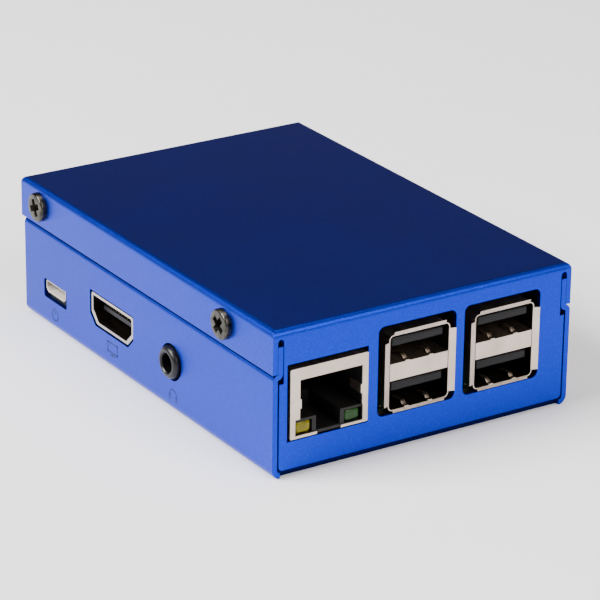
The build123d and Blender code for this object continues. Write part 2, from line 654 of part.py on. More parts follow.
def power_parts():
    """Shell and tongue of the micro-USB power socket."""
    width, z0, z1 = POWER_SHELL
    back = SIDE_FACE + POWER_DEPTH
    outer = block((POWER_X - width / 2, POWER_X + width / 2), (SIDE_FACE, back), (z0, z1))
    outer = chamfer(outer.edges().filter_by(Axis.Y).sort_by(Axis.Z)[:2], POWER_CHAMFER)
    outer = fillet(outer.edges().filter_by(Axis.Y).sort_by(Axis.Z)[-2:], POWER_ROUND)
    half = width / 2 - SHELL_THICK
    inner = block((POWER_X - half, POWER_X + half), (SIDE_FACE - SHEET, back - SHELL_THICK),
                  (z0 + SHELL_THICK, z1 - SHELL_THICK))
    inner = chamfer(inner.edges().filter_by(Axis.Y).sort_by(Axis.Z)[:2], POWER_CHAMFER)
    inset = SHELL_THICK + CLEAR
    tongue_width, tongue_thick = POWER_TONGUE
    tongue_z = (z1 - 2 * tongue_thick, z1 - tongue_thick)
    tongue = centred(POWER_X, (SIDE_FACE + POWER_TONGUE_RECESS + back - inset) / 2, tongue_width,
                     POWER_DEPTH - POWER_TONGUE_RECESS - inset, tongue_z)
    bed = block((POWER_X - half + CLEAR, POWER_X + half - CLEAR), (back - POWER_BACK, back - inset),
                (z0 + POWER_BACK_RISE, z1 - inset))
    return outer - inner, tongue + bed


def jack_body():
    """Audio and video jack: moulded body with the round barrel and the plug bore."""
    width, length, height = JACK_BODY
    y0 = BOARD_Y0 - CLEAR
    body = centred(JACK_X, y0 + length / 2, width, length, (BOARD_TOP, BOARD_TOP + height))
    body = rounded(body, Axis.Y, JACK_ROUND)
    barrel = across(JACK_X, JACK_Z, JACK_BARREL_RADIUS, (JACK_TIP, y0))
    barrel = fillet(barrel.edges().sort_by(Axis.Y)[0], JACK_NOSE)
    bore = across(JACK_X, JACK_Z, JACK_BORE_RADIUS, (JACK_TIP, JACK_TIP + JACK_BORE_LENGTH))
    body = body + barrel - bore
    rim = body.edges().filter_by(GeomType.CIRCLE).sort_by(Axis.Y)
    mouth = [edge for edge in rim if abs(edge.radius - JACK_BORE_RADIUS) < CLEAR][0]
    return chamfer(mouth, JACK_CHAMFER)


def jack_contacts():
    """Sprung contact tabs at the sides of the jack body."""
    thick, length, height = JACK_TAB
    x = JACK_BODY[0] / 2 + CLEAR + thick / 2
    return joined(centred(JACK_X + side * x, BOARD_Y0 + y, thick, length, (BOARD_TOP, BOARD_TOP + height))
                  for y in JACK_TAB_YS for side in (-1, 1))


def header_places():
    """Centre of each header pin."""
    for column in range(HEADER_COLUMNS):
        for row in range(HEADER_ROWS):
            x = HEADER_X + (column - (HEADER_COLUMNS - 1) / 2) * HEADER_PITCH
            yield x, HEADER_Y + (row - (HEADER_ROWS - 1) / 2) * HEADER_PITCH


def header_base():
    """Moulded base strip of the pin header, with a chamfered cell round each pin pair."""
    z_span = (BOARD_TOP, BOARD_TOP + HEADER_PITCH)
    cells = None
    for column in range(HEADER_COLUMNS):
        x = HEADER_X + (column - (HEADER_COLUMNS - 1) / 2) * HEADER_PITCH
        cell = centred(x, HEADER_Y, HEADER_PITCH, HEADER_ROWS * HEADER_PITCH, z_span)
        cell = chamfer(cell.edges().filter_by(Axis.Z), HEADER_CHAMFER)
        cells = cell if cells is None else cells + cell
    drill = PIN_WIDTH + 2 * CLEAR
    return cells - [centred(x, y, drill, drill, (0, CASE_HEIGHT)) for x, y in header_places()]


def header_pins():
    """Square pins, pointed at the top."""
    pins = []
    for x, y in header_places():
        pin = centred(x, y, PIN_WIDTH, PIN_WIDTH, (PIN_BOTTOM, PIN_TOP))
        pins.append(chamfer(pin.faces().sort_by(Axis.Z)[-1].edges(), PIN_POINT))
    return joined(pins)


def flat_connector(x, y):
    """Body, latch and contacts of an upright flat-cable connector, its slot along Y."""
    top = BOARD_TOP + FLAT_HEIGHT
    latch_z = (top - LATCH_HEIGHT + LATCH_GAP, top)
    body = centred(x, y, FLAT_WIDTH, FLAT_LENGTH, (BOARD_TOP, top - LATCH_HEIGHT))
    slot = centred(x, y, *FLAT_SLOT, (BOARD_TOP + FLAT_FLOOR, CASE_HEIGHT))
    body -= slot
    body -= [centred(x, y + side * FLAT_LENGTH / 2, FLAT_WIDTH / 2, FLAT_EAR,
                     (BOARD_TOP + FLAT_FLOOR, CASE_HEIGHT)) for side in (-1, 1)]
    latch = centred(x, y, FLAT_WIDTH - LATCH_INSET, FLAT_LENGTH - 2 * LATCH_LEG, latch_z)
    latch = chamfer(latch.edges().group_by(Axis.Z)[-1], LATCH_CHAMFER) - slot
    leg_width = FLAT_WIDTH / 2 - LATCH_CHAMFER
    for side in (-1, 1):
        place = y + side * (FLAT_LENGTH - LATCH_LEG) / 2
        latch += centred(x, place, leg_width, LATCH_LEG, (BOARD_TOP + FLAT_EAR, top))
        bridge = sorted((y + side * (FLAT_LENGTH / 2 - 2 * LATCH_LEG), place))
        latch += block((x - leg_width / 2, x + leg_width / 2), bridge, latch_z)
    length, width, height = FLAT_LEAD
    lead_x = x + FLAT_WIDTH / 2 + CLEAR + length / 2
    lead_z = (BOARD_TOP, BOARD_TOP + height)
    leads = joined(centred(lead_x, y + i - (FLAT_LEADS - 1) / 2, length, width, lead_z)
                   for i in range(FLAT_LEADS))
    return body, latch, leads


def chip(x, y, size_x, size_y, height):
    """Flat package on the board's top."""
    body = centred(x, y, size_x, size_y, (BOARD_TOP + CLEAR, BOARD_TOP + height))
    return chamfer(body.faces().sort_by(Axis.Z)[-1].edges(), CHIP_CHAMFER)


def passives(places, size_x, size_y, height):
    """Small rectangular components on the board's top."""
    return joined(centred(x, y, size_x, size_y, (BOARD_TOP, BOARD_TOP + height)) for x, y in places)


def can_capacitor(x, y, radius, height):
    """Surface-mount can capacitor on its square foot."""
    side = 2 * radius + CAN_ROUND
    foot = centred(x, y, side, side, (BOARD_TOP, BOARD_TOP + CAN_FOOT))
    foot = chamfer(foot.edges().filter_by(Axis.Z), radius * CAN_FOOT_CUT)
    can = upright(x, y, radius, (BOARD_TOP + CAN_FOOT, BOARD_TOP + height))
    return foot + fillet(can.edges().sort_by(Axis.Z)[-1], CAN_ROUND)


def crystal(x, y):
    """Crystal in an oval can."""
    length, width, height = CRYSTAL
    can = centred(x, y, length, width, (BOARD_TOP, BOARD_TOP + height))
    can = rounded(can, Axis.Z, CRYSTAL_ROUND)
    return fillet(can.faces().sort_by(Axis.Z)[-1].edges(), CRYSTAL_EDGE)


def socket_base():
    """Moulded frame of the card socket, soldered under the board."""
    low = SD_Y - SOCKET_HALF_WIDTH + SOCKET_INSET
    high = SD_Y + SOCKET_HALF_WIDTH - SOCKET_INSET
    roof_z = (CARD_Z + CARD_THICK + CARD_RIDGE + SLIDER_GAP, BOARD_Z)
    wall_z = (SOCKET_BOTTOM + SOCKET_SHEET + CLEAR, BOARD_Z)
    roof = block(SOCKET_X, (low, high), roof_z)
    left = block(SOCKET_X, (low, SD_Y - CARD_WIDTH / 2 - SLIDER_GAP), wall_z)
    right = block(SOCKET_X, (high - SOCKET_WALL, high), wall_z)
    back = block((SOCKET_X[1] - SOCKET_BACK, SOCKET_X[1]), (low, high), wall_z)
    return roof + left + right + back


def socket_cover():
    """Sheet-metal cover that wraps the card socket from below."""
    low, high = SD_Y - SOCKET_HALF_WIDTH, SD_Y + SOCKET_HALF_WIDTH
    cover = block(SOCKET_X, (low, high), (SOCKET_BOTTOM, BOARD_Z - CLEAR))
    cover = rounded(cover, Axis.X, SOCKET_SHEET)
    cover -= block((SOCKET_X[0] - SHEET, SOCKET_X[1] + SHEET), (low + SOCKET_SHEET, high - SOCKET_SHEET),
                   (SOCKET_BOTTOM + SOCKET_SHEET, CASE_HEIGHT))
    place, length, width = SOCKET_WINDOW
    return cover - centred(SOCKET_X[0] + place, SD_Y, length, width, (0, SOCKET_BOTTOM + SHEET))


def socket_contacts():
    """Row of solder tails behind the card socket."""
    length, width, thick = SOCKET_TAIL
    x = SOCKET_X[1] + CLEAR + length / 2
    return joined(centred(x, SD_Y + (i - (SOCKET_TAILS - 1) / 2) * SOCKET_TAIL_PITCH, length, width,
                          (BOARD_Z - thick, BOARD_Z)) for i in range(SOCKET_TAILS))


def card():
    """Memory card: neck at the inner end, grip ridge at the outer end."""
    inner_x = CARD_OUTER_X + CARD_LENGTH
    low, high = SD_Y - CARD_WIDTH / 2, SD_Y + CARD_WIDTH / 2
    top = CARD_Z + CARD_THICK
    body = block((CARD_OUTER_X, inner_x), (low, high), (CARD_Z, top))
    body -= block((inner_x - CARD_NECK_LENGTH, inner_x), (low + CARD_NECK_WIDTH, high), (0, CASE_HEIGHT))
    body = rounded(body, Axis.Z, CARD_CORNER)
    ridge_y = (low + CARD_CORNER, high - CARD_CORNER)
    return body + block((CARD_OUTER_X, CARD_OUTER_X + CARD_RIDGE_LENGTH), ridge_y, (top, top + CARD_RIDGE))


def slider():
    """Cam slider beside the card, with the hook behind the card's inner end."""
    inner_x = CARD_OUTER_X + CARD_LENGTH
    arm_low = SD_Y + CARD_WIDTH / 2 + SLIDER_GAP
    arm_high = SD_Y + SOCKET_HALF_WIDTH - SOCKET_INSET - SOCKET_WALL - SLIDER_GAP
    z_span = (CARD_Z, CARD_Z + CARD_THICK)
    hook_thick, hook_width = SLIDER_HOOK
    hook_x = (inner_x + CLEAR, inner_x + CLEAR + hook_thick)
    arm = block((inner_x - SLIDER_ARM, hook_x[1]), (arm_low, arm_high), z_span)
    return arm + block(hook_x, (arm_high - hook_width, arm_high), z_span)


def coil_spring():
    """Return spring between the slider and the socket's back wall."""
    start = SOCKET_X[1] - SOCKET_BACK - CLEAR - SPRING_LENGTH
    pitch = SPRING_LENGTH / SPRING_TURNS
    z = CARD_Z + CARD_THICK / 2
    rings = []
    for turn in range(SPRING_TURNS):
        x = start + (turn + 1 / 2) * pitch
        rings.append(Pos(x, SPRING_Y, z) * Rot(0, 90, 0) * Torus(SPRING_RADIUS - SPRING_WIRE, SPRING_WIRE))
    return joined(rings)


def build_nodes():
    """Every piece of the object by name."""
    nodes = {
        "base_tray": base_tray(),
        "lid_cover": lid_cover(),
        "lid_screws": joined(lid_screw(x, side) for x in SCREW_XS for side in (-1, 1)),
        "clinch_nuts": joined(clinch_nut(x, side) for x in SCREW_XS for side in (-1, 1)),
        "board_pillars": joined(pillar(x, y) for x in HOLE_XS for y in HOLE_YS),
        "board_screws": joined(board_screw(x, y) for x in HOLE_XS for y in HOLE_YS),
        "circuit_board": circuit_board(),
        "ethernet_shield": ethernet_shield(),
        "ethernet_housing": ethernet_housing(),
        "ethernet_contacts": ethernet_contacts(),
        "link_light_yellow": indicator_lens(-1),
        "activity_light_green": indicator_lens(1),
        "av_jack_body": jack_body(),
        "av_jack_contacts": jack_contacts(),
        "header_base": header_base(),
        "header_pins": header_pins(),
        "processor": chip(*PROCESSOR),
        "memory_chip": centred(*MEMORY, (BOARD_Z - MEMORY_THICK, BOARD_Z - CLEAR)),
        "usb_network_chip": chip(*USB_NETWORK),
        "power_regulator": chip(*REGULATOR),
        "audio_filter_chip": chip(*AUDIO_FILTER),
        "input_fuse": chip(*FUSE),
        "power_inductors": joined(chip(x, y, *INDUCTOR) for x, y in INDUCTOR_PLACES),
        "can_capacitors": joined(can_capacitor(x, y, *CAN) for x, y in CAN_PLACES),
        "crystals": joined(crystal(x, y) for x, y in CRYSTAL_PLACES),
        "ceramic_capacitors": passives(CAPACITOR_PLACES, *CERAMIC),
        "chip_resistors": passives(RESISTOR_PLACES, *RESISTOR),
        "status_lights": passives(STATUS_PLACES, *STATUS_LIGHT),
        "sd_socket_base": socket_base(),
        "sd_socket_cover": socket_cover(),
        "sd_socket_contacts": socket_contacts(),
        "sd_slider": slider(),
        "sd_spring": coil_spring(),
        "sd_card": card(),
    }
    for number, y in enumerate(USB_YS, start=1):
        nodes[f"usb_shell_{number}"] = usb_shell(y)
        nodes[f"usb_tongues_{number}"] = usb_tongues(y)
        nodes[f"usb_contacts_{number}"] = usb_contacts(y)
    hdmi = hdmi_parts()
    nodes.update(zip(("hdmi_shell", "hdmi_tongue", "hdmi_contacts"), hdmi))
    nodes.update(zip(("power_socket_shell", "power_socket_tongue"), power_parts()))
    for name, x, y in (("camera", CAMERA_X, CAMERA_Y), ("display", DISPLAY_X, DISPLAY_Y)):
        body, latch, leads = flat_connector(x, y)
        nodes[f"{name}_connector_body"] = body
        nodes[f"{name}_connector_latch"] = latch
        nodes[f"{name}_connector_leads"] = leads
    return nodes


for node, solid in build_nodes().items():
    export_step(solid, f"parts/{node}.step")
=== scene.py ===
import bpy
import math
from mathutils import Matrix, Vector


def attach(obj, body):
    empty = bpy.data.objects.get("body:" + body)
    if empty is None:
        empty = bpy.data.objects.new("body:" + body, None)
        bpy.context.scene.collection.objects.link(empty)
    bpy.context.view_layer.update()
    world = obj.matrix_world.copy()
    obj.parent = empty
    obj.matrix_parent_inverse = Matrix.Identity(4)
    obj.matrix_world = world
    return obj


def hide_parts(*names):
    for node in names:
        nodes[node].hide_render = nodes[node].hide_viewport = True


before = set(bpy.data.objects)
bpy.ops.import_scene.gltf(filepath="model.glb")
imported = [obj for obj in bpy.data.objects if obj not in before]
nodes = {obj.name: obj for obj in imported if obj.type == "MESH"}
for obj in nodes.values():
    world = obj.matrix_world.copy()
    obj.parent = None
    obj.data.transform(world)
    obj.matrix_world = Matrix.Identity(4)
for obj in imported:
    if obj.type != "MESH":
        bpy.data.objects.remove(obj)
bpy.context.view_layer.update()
MM = 0.001

# ---------------------------------------------------------------- camera, table and light
# A long lens looks down on the port end and the long side with the power socket.
# The computer stands on pale paper. Soft boxes stand for a window, the room and the ceiling,
# and the walls of the room give back a little warm light.
CAMERA_PLACE = (0.4622, -0.2966, 0.2366)
CAMERA_TURN = (67.66, -0.67, 57.33)
SENSOR_WIDTH = 36
LENS_LENGTH = 192.2
SIGHT_END = 20
SOFT_BOXES = (
    ("window_light", (-0.27, -0.94, 0.85), (0.8, 0.6), 47.0, (0.97, 0.985, 1.0)),
    ("room_light", (1.0, 0.15, 0.7), (0.9, 0.7), 17.0, (1.0, 0.97, 0.95)),
    ("ceiling_light", (-0.1, 0.1, 1.3), (0.9, 0.9), 10.0, (1.0, 0.97, 0.94)),
)
WALL_LIGHT = (1.0, 0.80, 0.71, 1)
WALL_STRENGTH = 0.16
TABLE_WIDTH = 8
TABLE_HEIGHT = -0.0001
PAPER_SCALE = 30
PAPER_DULL = (0.84, 0.84, 0.86)
PAPER_BRIGHT = (0.88, 0.88, 0.90)
PAPER_ROUGHNESS = 0.75

camera_data = bpy.data.cameras.new("camera")
camera_data.sensor_width = SENSOR_WIDTH
camera_data.lens = LENS_LENGTH
camera_data.clip_end = SIGHT_END
camera = bpy.data.objects.new("camera", camera_data)
bpy.context.scene.collection.objects.link(camera)
camera.location = CAMERA_PLACE
camera.rotation_euler = [math.radians(angle) for angle in CAMERA_TURN]
bpy.context.scene.camera = camera


def soft_box(name, place, size, power, colour):
    """Area light at a place, turned to the computer."""
    data = bpy.data.lights.new(name, "AREA")
    data.shape = "RECTANGLE"
    data.size, data.size_y = size
    data.energy = power
    data.color = colour
    light = bpy.data.objects.new(name, data)
    bpy.context.scene.collection.objects.link(light)
    light.location = place
    light.rotation_euler = (-Vector(place)).to_track_quat("-Z", "Y").to_euler()


for soft_box_values in SOFT_BOXES:
    soft_box(*soft_box_values)

world = bpy.data.worlds.new("studio")
bpy.context.scene.world = world
world.use_nodes = True
background = world.node_tree.nodes["Background"]
background.inputs["Color"].default_value = WALL_LIGHT
background.inputs["Strength"].default_value = WALL_STRENGTH


def new_material(name):
    """Material with its shader, ready for its own nodes."""
    material = bpy.data.materials.new(name)
    material.use_nodes = True
    return material, material.node_tree, material.node_tree.nodes["Principled BSDF"]


def add_node(tree, kind, **settings):
    """Node of a kind in a tree, with its settings."""
    node = tree.nodes.new(kind)
    for key, value in settings.items():
        setattr(node, key, value)
    return node


def object_noise(tree, scale, detail=2.0, stretch=None):
    """Noise on object coordinates, stretched along an axis if asked."""
    place = add_node(tree, "ShaderNodeTexCoord")
    noise = add_node(tree, "ShaderNodeTexNoise")
    noise.inputs["Scale"].default_value = scale
    noise.inputs["Detail"].default_value = detail
    source = place.outputs["Object"]
    if stretch:
        mapping = add_node(tree, "ShaderNodeMapping")
        mapping.inputs["Scale"].default_value = stretch
        tree.links.new(source, mapping.inputs["Vector"])
        source = mapping.outputs["Vector"]
    tree.links.new(source, noise.inputs["Vector"])
    return noise.outputs["Fac"]


def spread(tree, value, low, high, from_low=0.3, from_high=0.7):
    """Value remapped to a new span."""
    node = add_node(tree, "ShaderNodeMapRange")
    node.inputs["From Min"].default_value = from_low
    node.inputs["From Max"].default_value = from_high
    node.inputs["To Min"].default_value = low
    node.inputs["To Max"].default_value = high
    tree.links.new(value, node.inputs["Value"])
    return node.outputs["Result"]


def between(tree, mask, first, second):
    """Colour that goes from the first to the second by a mask."""
    node = add_node(tree, "ShaderNodeMix", data_type="RGBA")
    node.inputs["A"].default_value = (*first, 1)
    node.inputs["B"].default_value = (*second, 1)
    tree.links.new(mask, node.inputs["Factor"])
    return node.outputs["Result"]


def pit(tree, shader, height, strength, depth):
    """Bump from a height, on the shader's normal."""
    node = add_node(tree, "ShaderNodeBump")
    node.inputs["Strength"].default_value = strength
    node.inputs["Distance"].default_value = depth
    tree.links.new(height, node.inputs["Height"])
    tree.links.new(node.outputs["Normal"], shader.inputs["Normal"])


bpy.ops.object.select_all(action="DESELECT")
bpy.ops.mesh.primitive_plane_add(size=TABLE_WIDTH, location=(0, 0, TABLE_HEIGHT))
table = bpy.context.object
table.name = "table"
paper, tree, shader = new_material("pale_paper")
fibres = object_noise(tree, PAPER_SCALE, detail=4)
tree.links.new(between(tree, fibres, PAPER_DULL, PAPER_BRIGHT), shader.inputs["Base Color"])
shader.inputs["Roughness"].default_value = PAPER_ROUGHNESS
table.data.materials.append(paper)

# ---------------------------------------------------------------- folded case
# Tray and lid are folded from 1 mm aluminium sheet, bead-blasted and dyed blue. The blasting eases
# the cut edges, so each shell gets a fine round on every edge.
# The seam under the flaps and the sill under the port panel take a near-black sheet: painted shade, where
# these narrow gaps lie in shadow.
CASE_BODY = "case_and_board"
EDGE_ROUND = 0.16 * MM
WELD_DISTANCE = 0.002 * MM
FLAT_ANGLE = math.radians(0.5)
SMOOTH_ANGLE = math.radians(30)
EASED_ANGLE = math.radians(35)
GRAIN_SCALE = 4200.0
GRAIN_DEPTH = 0.05 * MM
GRAIN_STRENGTH = 0.8
# Facets above this share get a brighter colour: painted glints.
GLINT_START = 0.7
MOTTLE_SCALE = 90
SHEET_ROUGHNESS = (0.33, 0.35)
CASE_DULL = (0.006, 0.028, 0.43)
CASE_BRIGHT = (0.009, 0.038, 0.50)
# Near-black blues for painted shade in the seam and the sill.
SEAM_SHADE_DULL = (0.001, 0.003, 0.05)
SEAM_SHADE_BRIGHT = (0.001, 0.005, 0.07)
SEAM_DEPTH = 30.4 * MM
SEAM_BOTTOM = 18.9 * MM
SEAM_TOP = 19.6 * MM
SILL_X = 43.0 * MM
SILL_TOP = 1.1 * MM


def eased_copy(node, name, edge, body=CASE_BODY):
    """Copy of a part with its loose faces welded, flats made whole and sharp edges eased."""
    bpy.ops.object.select_all(action="DESELECT")
    piece = bpy.data.objects.new(name, nodes[node].data.copy())
    bpy.context.scene.collection.objects.link(piece)
    bpy.context.view_layer.objects.active = piece
    piece.select_set(True)
    piece.data.materials.clear()
    if piece.data.has_custom_normals:
        bpy.ops.mesh.customdata_custom_splitnormals_clear()
    bpy.ops.object.mode_set(mode="EDIT")
    bpy.ops.mesh.select_all(action="SELECT")
    bpy.ops.mesh.remove_doubles(threshold=WELD_DISTANCE)
    bpy.ops.mesh.dissolve_limited(angle_limit=FLAT_ANGLE)
    bpy.ops.object.mode_set(mode="OBJECT")
    bpy.ops.object.shade_smooth_by_angle(angle=SMOOTH_ANGLE)
    bevel = piece.modifiers.new("ease", "BEVEL")
    bevel.width = edge
    bevel.segments = 2
    bevel.limit_method = "ANGLE"
    bevel.angle_limit = EASED_ANGLE
    bevel.use_clamp_overlap = True
    bevel.miter_outer = "MITER_ARC"
    bevel.harden_normals = True
    bpy.ops.object.modifier_apply(modifier="ease")
    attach(piece, body)
    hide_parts(node)
    return piece


def blasted_grain_group():
    """Node group of bead-blasted sheet: a fine pitted height, and a mask of its facets for painted glints."""
    group = bpy.data.node_groups.new("blasted_grain", "ShaderNodeTree")
    for name, value in (("Scale", GRAIN_SCALE), ("Glint", GLINT_START)):
        socket = group.interface.new_socket(name, in_out="INPUT", socket_type="NodeSocketFloat")
        socket.default_value = value
    for name in ("Height", "Glints", "Mottle"):
        group.interface.new_socket(name, in_out="OUTPUT", socket_type="NodeSocketFloat")
    start = add_node(group, "NodeGroupInput")
    end = add_node(group, "NodeGroupOutput")
    place = add_node(group, "ShaderNodeTexCoord")
    pits = add_node(group, "ShaderNodeTexNoise")
    pits.inputs["Detail"].default_value = 3.0
    facets = add_node(group, "ShaderNodeTexVoronoi", feature="F1")
    mottle = add_node(group, "ShaderNodeTexNoise")
    mottle.inputs["Scale"].default_value = MOTTLE_SCALE
    mottle.inputs["Detail"].default_value = 4
    for node in (pits, facets, mottle):
        group.links.new(place.outputs["Object"], node.inputs["Vector"])
    for node in (pits, facets):
        group.links.new(start.outputs["Scale"], node.inputs["Scale"])
    tone = add_node(group, "ShaderNodeSeparateColor")
    group.links.new(facets.outputs["Color"], tone.inputs["Color"])
    brightest = add_node(group, "ShaderNodeMapRange")
    brightest.inputs["From Max"].default_value = 1.0
    group.links.new(tone.outputs["Red"], brightest.inputs["Value"])
    group.links.new(start.outputs["Glint"], brightest.inputs["From Min"])
    group.links.new(pits.outputs["Fac"], end.inputs["Height"])
    group.links.new(brightest.outputs["Result"], end.inputs["Glints"])
    group.links.new(mottle.outputs["Fac"], end.inputs["Mottle"])
    return group


blasted_grain = blasted_grain_group()


def anodised_sheet(name, dull, bright):
    """Dyed, bead-blasted aluminium, with painted glints where the facet mask brightens the colour."""
    material, tree, shader = new_material(name)
    grain = add_node(tree, "ShaderNodeGroup", node_tree=blasted_grain)
    grain.inputs["Scale"].default_value = GRAIN_SCALE
    grain.inputs["Glint"].default_value = GLINT_START
    # Painted glints: the facet mask lifts the colour from dull to bright.
    tree.links.new(between(tree, grain.outputs["Glints"], dull, bright), shader.inputs["Base Color"])
    tree.links.new(spread(tree, grain.outputs["Mottle"], *SHEET_ROUGHNESS), shader.inputs["Roughness"])
    shader.inputs["Metallic"].default_value = 1.0
    pit(tree, shader, grain.outputs["Height"], GRAIN_STRENGTH, GRAIN_DEPTH)
    return material


def second_finish(piece, material, test):
    """Gives a second material to the faces that pass the test."""
    piece.data.materials.append(material)
    for face in piece.data.polygons:
        if test(face):
            face.material_index = 1


def in_seam(face):
    """The sloping and level faces between a flap's edge and the tray's wall, which take painted shade."""
    in_height = SEAM_BOTTOM < face.center.z < SEAM_TOP
    return in_height and abs(face.center.y) > SEAM_DEPTH and abs(face.normal.z) > 0.2


def in_sill(face):
    """The front and lower faces of the edges at the foot of the port panel, which take painted shade."""
    in_place = face.center.z < SILL_TOP and face.center.x > SILL_X
    return in_place and (face.normal.x > 0.5 or face.normal.z < -0.5)


case_blue = anodised_sheet("blue_anodised_sheet", CASE_DULL, CASE_BRIGHT)
# Painted shade: the seam and sill faces get this near-black copy of the sheet.
painted_seam_shade = anodised_sheet("painted_seam_shade", SEAM_SHADE_DULL, SEAM_SHADE_BRIGHT)
for node, name in (("base_tray", "tray_shell"), ("lid_cover", "lid_shell")):
    shell = eased_copy(node, name, EDGE_ROUND)
    shell.data.materials.append(case_blue)
    second_finish(shell, painted_seam_shade, lambda face: in_seam(face) or in_sill(face))

# ---------------------------------------------------------------- lid screws
# Four M3 pan-head screws of blackened steel, two through each long flap of the lid.
# The head is turned with a small rim round, and its cross recess is punched with a taper.
SCREW_LINE_Z = 23.25 * MM
SCREW_STATIONS = (-37.6 * MM, 28.7 * MM)
WALL_OUTSIDE = 31.35 * MM
HEAD_RADIUS = 2.8 * MM
HEAD_HEIGHT = 1.1 * MM
SHANK_RADIUS = 1.45 * MM
SHANK_LENGTH = 4.2 * MM
SCREW_SIDES = 48
RIM_SHARE = 0.42
SHANK_TAPER = (0.9, 0.9, 1)
RECESS_TAPER = (0.55, 0.4, 1)
ARM_SHARES = (1.55, 0.6, 0.95)
CENTRE_SHARES = (0.78, 0.78, 1.05)
RECESS_TURN = 22
RECESS_STEP = 31
SCRATCH_STRENGTH = 0.4
SCRATCH_DEPTH = 0.01 * MM
SCRATCH_STRETCH = (0.12, 1, 2.2)


def only(piece):
    """The one selected and active piece, in object mode."""
    bpy.ops.object.select_all(action="DESELECT")
    bpy.context.view_layer.objects.active = piece
    piece.select_set(True)
    return piece


def fresh(name):
    """The primitive just added, with its name."""
    piece = bpy.context.object
    piece.name = name
    return piece


def pick(piece, test):
    """Edit mode on a piece, with only the faces that pass the test selected."""
    bpy.ops.object.mode_set(mode="EDIT")
    bpy.ops.mesh.select_mode(type="FACE")
    bpy.ops.mesh.select_all(action="DESELECT")
    bpy.ops.object.mode_set(mode="OBJECT")
    for face in piece.data.polygons:
        face.select = test(face)
    bpy.ops.object.mode_set(mode="EDIT")


def settle(piece, turn=(0, 0, 0), place=(0, 0, 0)):
    """Turns and moves a piece, then puts that into its mesh."""
    only(piece)
    piece.rotation_euler = [math.radians(angle) for angle in turn]
    piece.location = place
    bpy.ops.object.transform_apply(location=True, rotation=True, scale=True)
    return piece


def merged(pieces, name):
    """Pieces joined into the first, under one name."""
    only(pieces[0])
    for piece in pieces[1:]:
        piece.select_set(True)
    bpy.ops.object.join()
    pieces[0].name = name
    return pieces[0]


def twin(piece, name):
    """Copy of a piece with its own mesh."""
    copy = bpy.data.objects.new(name, piece.data.copy())
    bpy.context.scene.collection.objects.link(copy)
    return copy


def round_edges(piece, width, segments=3, angle=30):
    """Sharp edges of a piece rounded, and its faces shaded smooth up to an angle."""
    only(piece)
    bevel = piece.modifiers.new("round", "BEVEL")
    bevel.width = width
    bevel.segments = segments
    bevel.limit_method = "ANGLE"
    bevel.angle_limit = math.radians(angle)
    bpy.ops.object.modifier_apply(modifier="round")
    bpy.ops.object.shade_smooth_by_angle(angle=EASED_ANGLE)
    return piece


def finished(piece, material, slot_name, body, *stood_for):
    """Gives a piece its material, its body and the parts it stands for. The slot name is not used."""
    piece.data.materials.clear()
    piece.data.materials.append(material)
    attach(piece, body)
    if stood_for:
        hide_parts(*stood_for)
    return piece


def cut_away(piece, cutter):
    """Cuts a shape out of a piece and throws the shape away."""
    only(piece)
    cut = piece.modifiers.new("cut", "BOOLEAN")
    cut.object = cutter
    cut.solver = "EXACT"
    bpy.ops.object.modifier_apply(modifier="cut")
    bpy.data.objects.remove(cutter)


def recess_arm(length, width, depth, top):
    """One arm of a cross recess, narrower at its bottom."""
    bpy.ops.object.select_all(action="DESELECT")
    bpy.ops.mesh.primitive_cube_add(size=1, location=(0, 0, top), scale=(length, width, 2 * depth))
    arm = fresh("recess_arm")
    pick(arm, lambda face: face.normal.z < -0.5)
    bpy.ops.transform.resize(value=RECESS_TAPER)
    bpy.ops.object.mode_set(mode="OBJECT")
    return settle(arm, place=(0, 0, top))


def pan_head_screw(name, radius, height, shank_radius, shank_length):
    """Screw along Z with its head upwards and the bearing face at height zero."""
    bpy.ops.object.select_all(action="DESELECT")
    bpy.ops.mesh.primitive_cylinder_add(vertices=SCREW_SIDES, radius=radius, depth=height,
                                        location=(0, 0, height / 2))
    screw = fresh(name)
    bpy.ops.object.transform_apply()
    pick(screw, lambda face: face.normal.z > 0.9)
    bpy.ops.mesh.bevel(offset=height * RIM_SHARE, segments=5, affect="EDGES")
    bpy.ops.mesh.select_all(action="DESELECT")
    bpy.ops.object.mode_set(mode="OBJECT")
    pick(screw, lambda face: face.normal.z < -0.9)
    bpy.ops.mesh.inset(thickness=radius - shank_radius)
    bpy.ops.mesh.extrude_region_move(TRANSFORM_OT_translate={"value": (0, 0, -shank_length)})
    bpy.ops.transform.resize(value=SHANK_TAPER)
    bpy.ops.object.mode_set(mode="OBJECT")
    for turn, (length, width, depth) in ((0, ARM_SHARES), (90, ARM_SHARES), (45, CENTRE_SHARES)):
        punch = recess_arm(radius * length, radius * width, height * depth, height)
        cut_away(screw, settle(punch, turn=(0, 0, turn)))
    only(screw)
    bpy.ops.object.shade_smooth_by_angle(angle=EASED_ANGLE)
    return screw


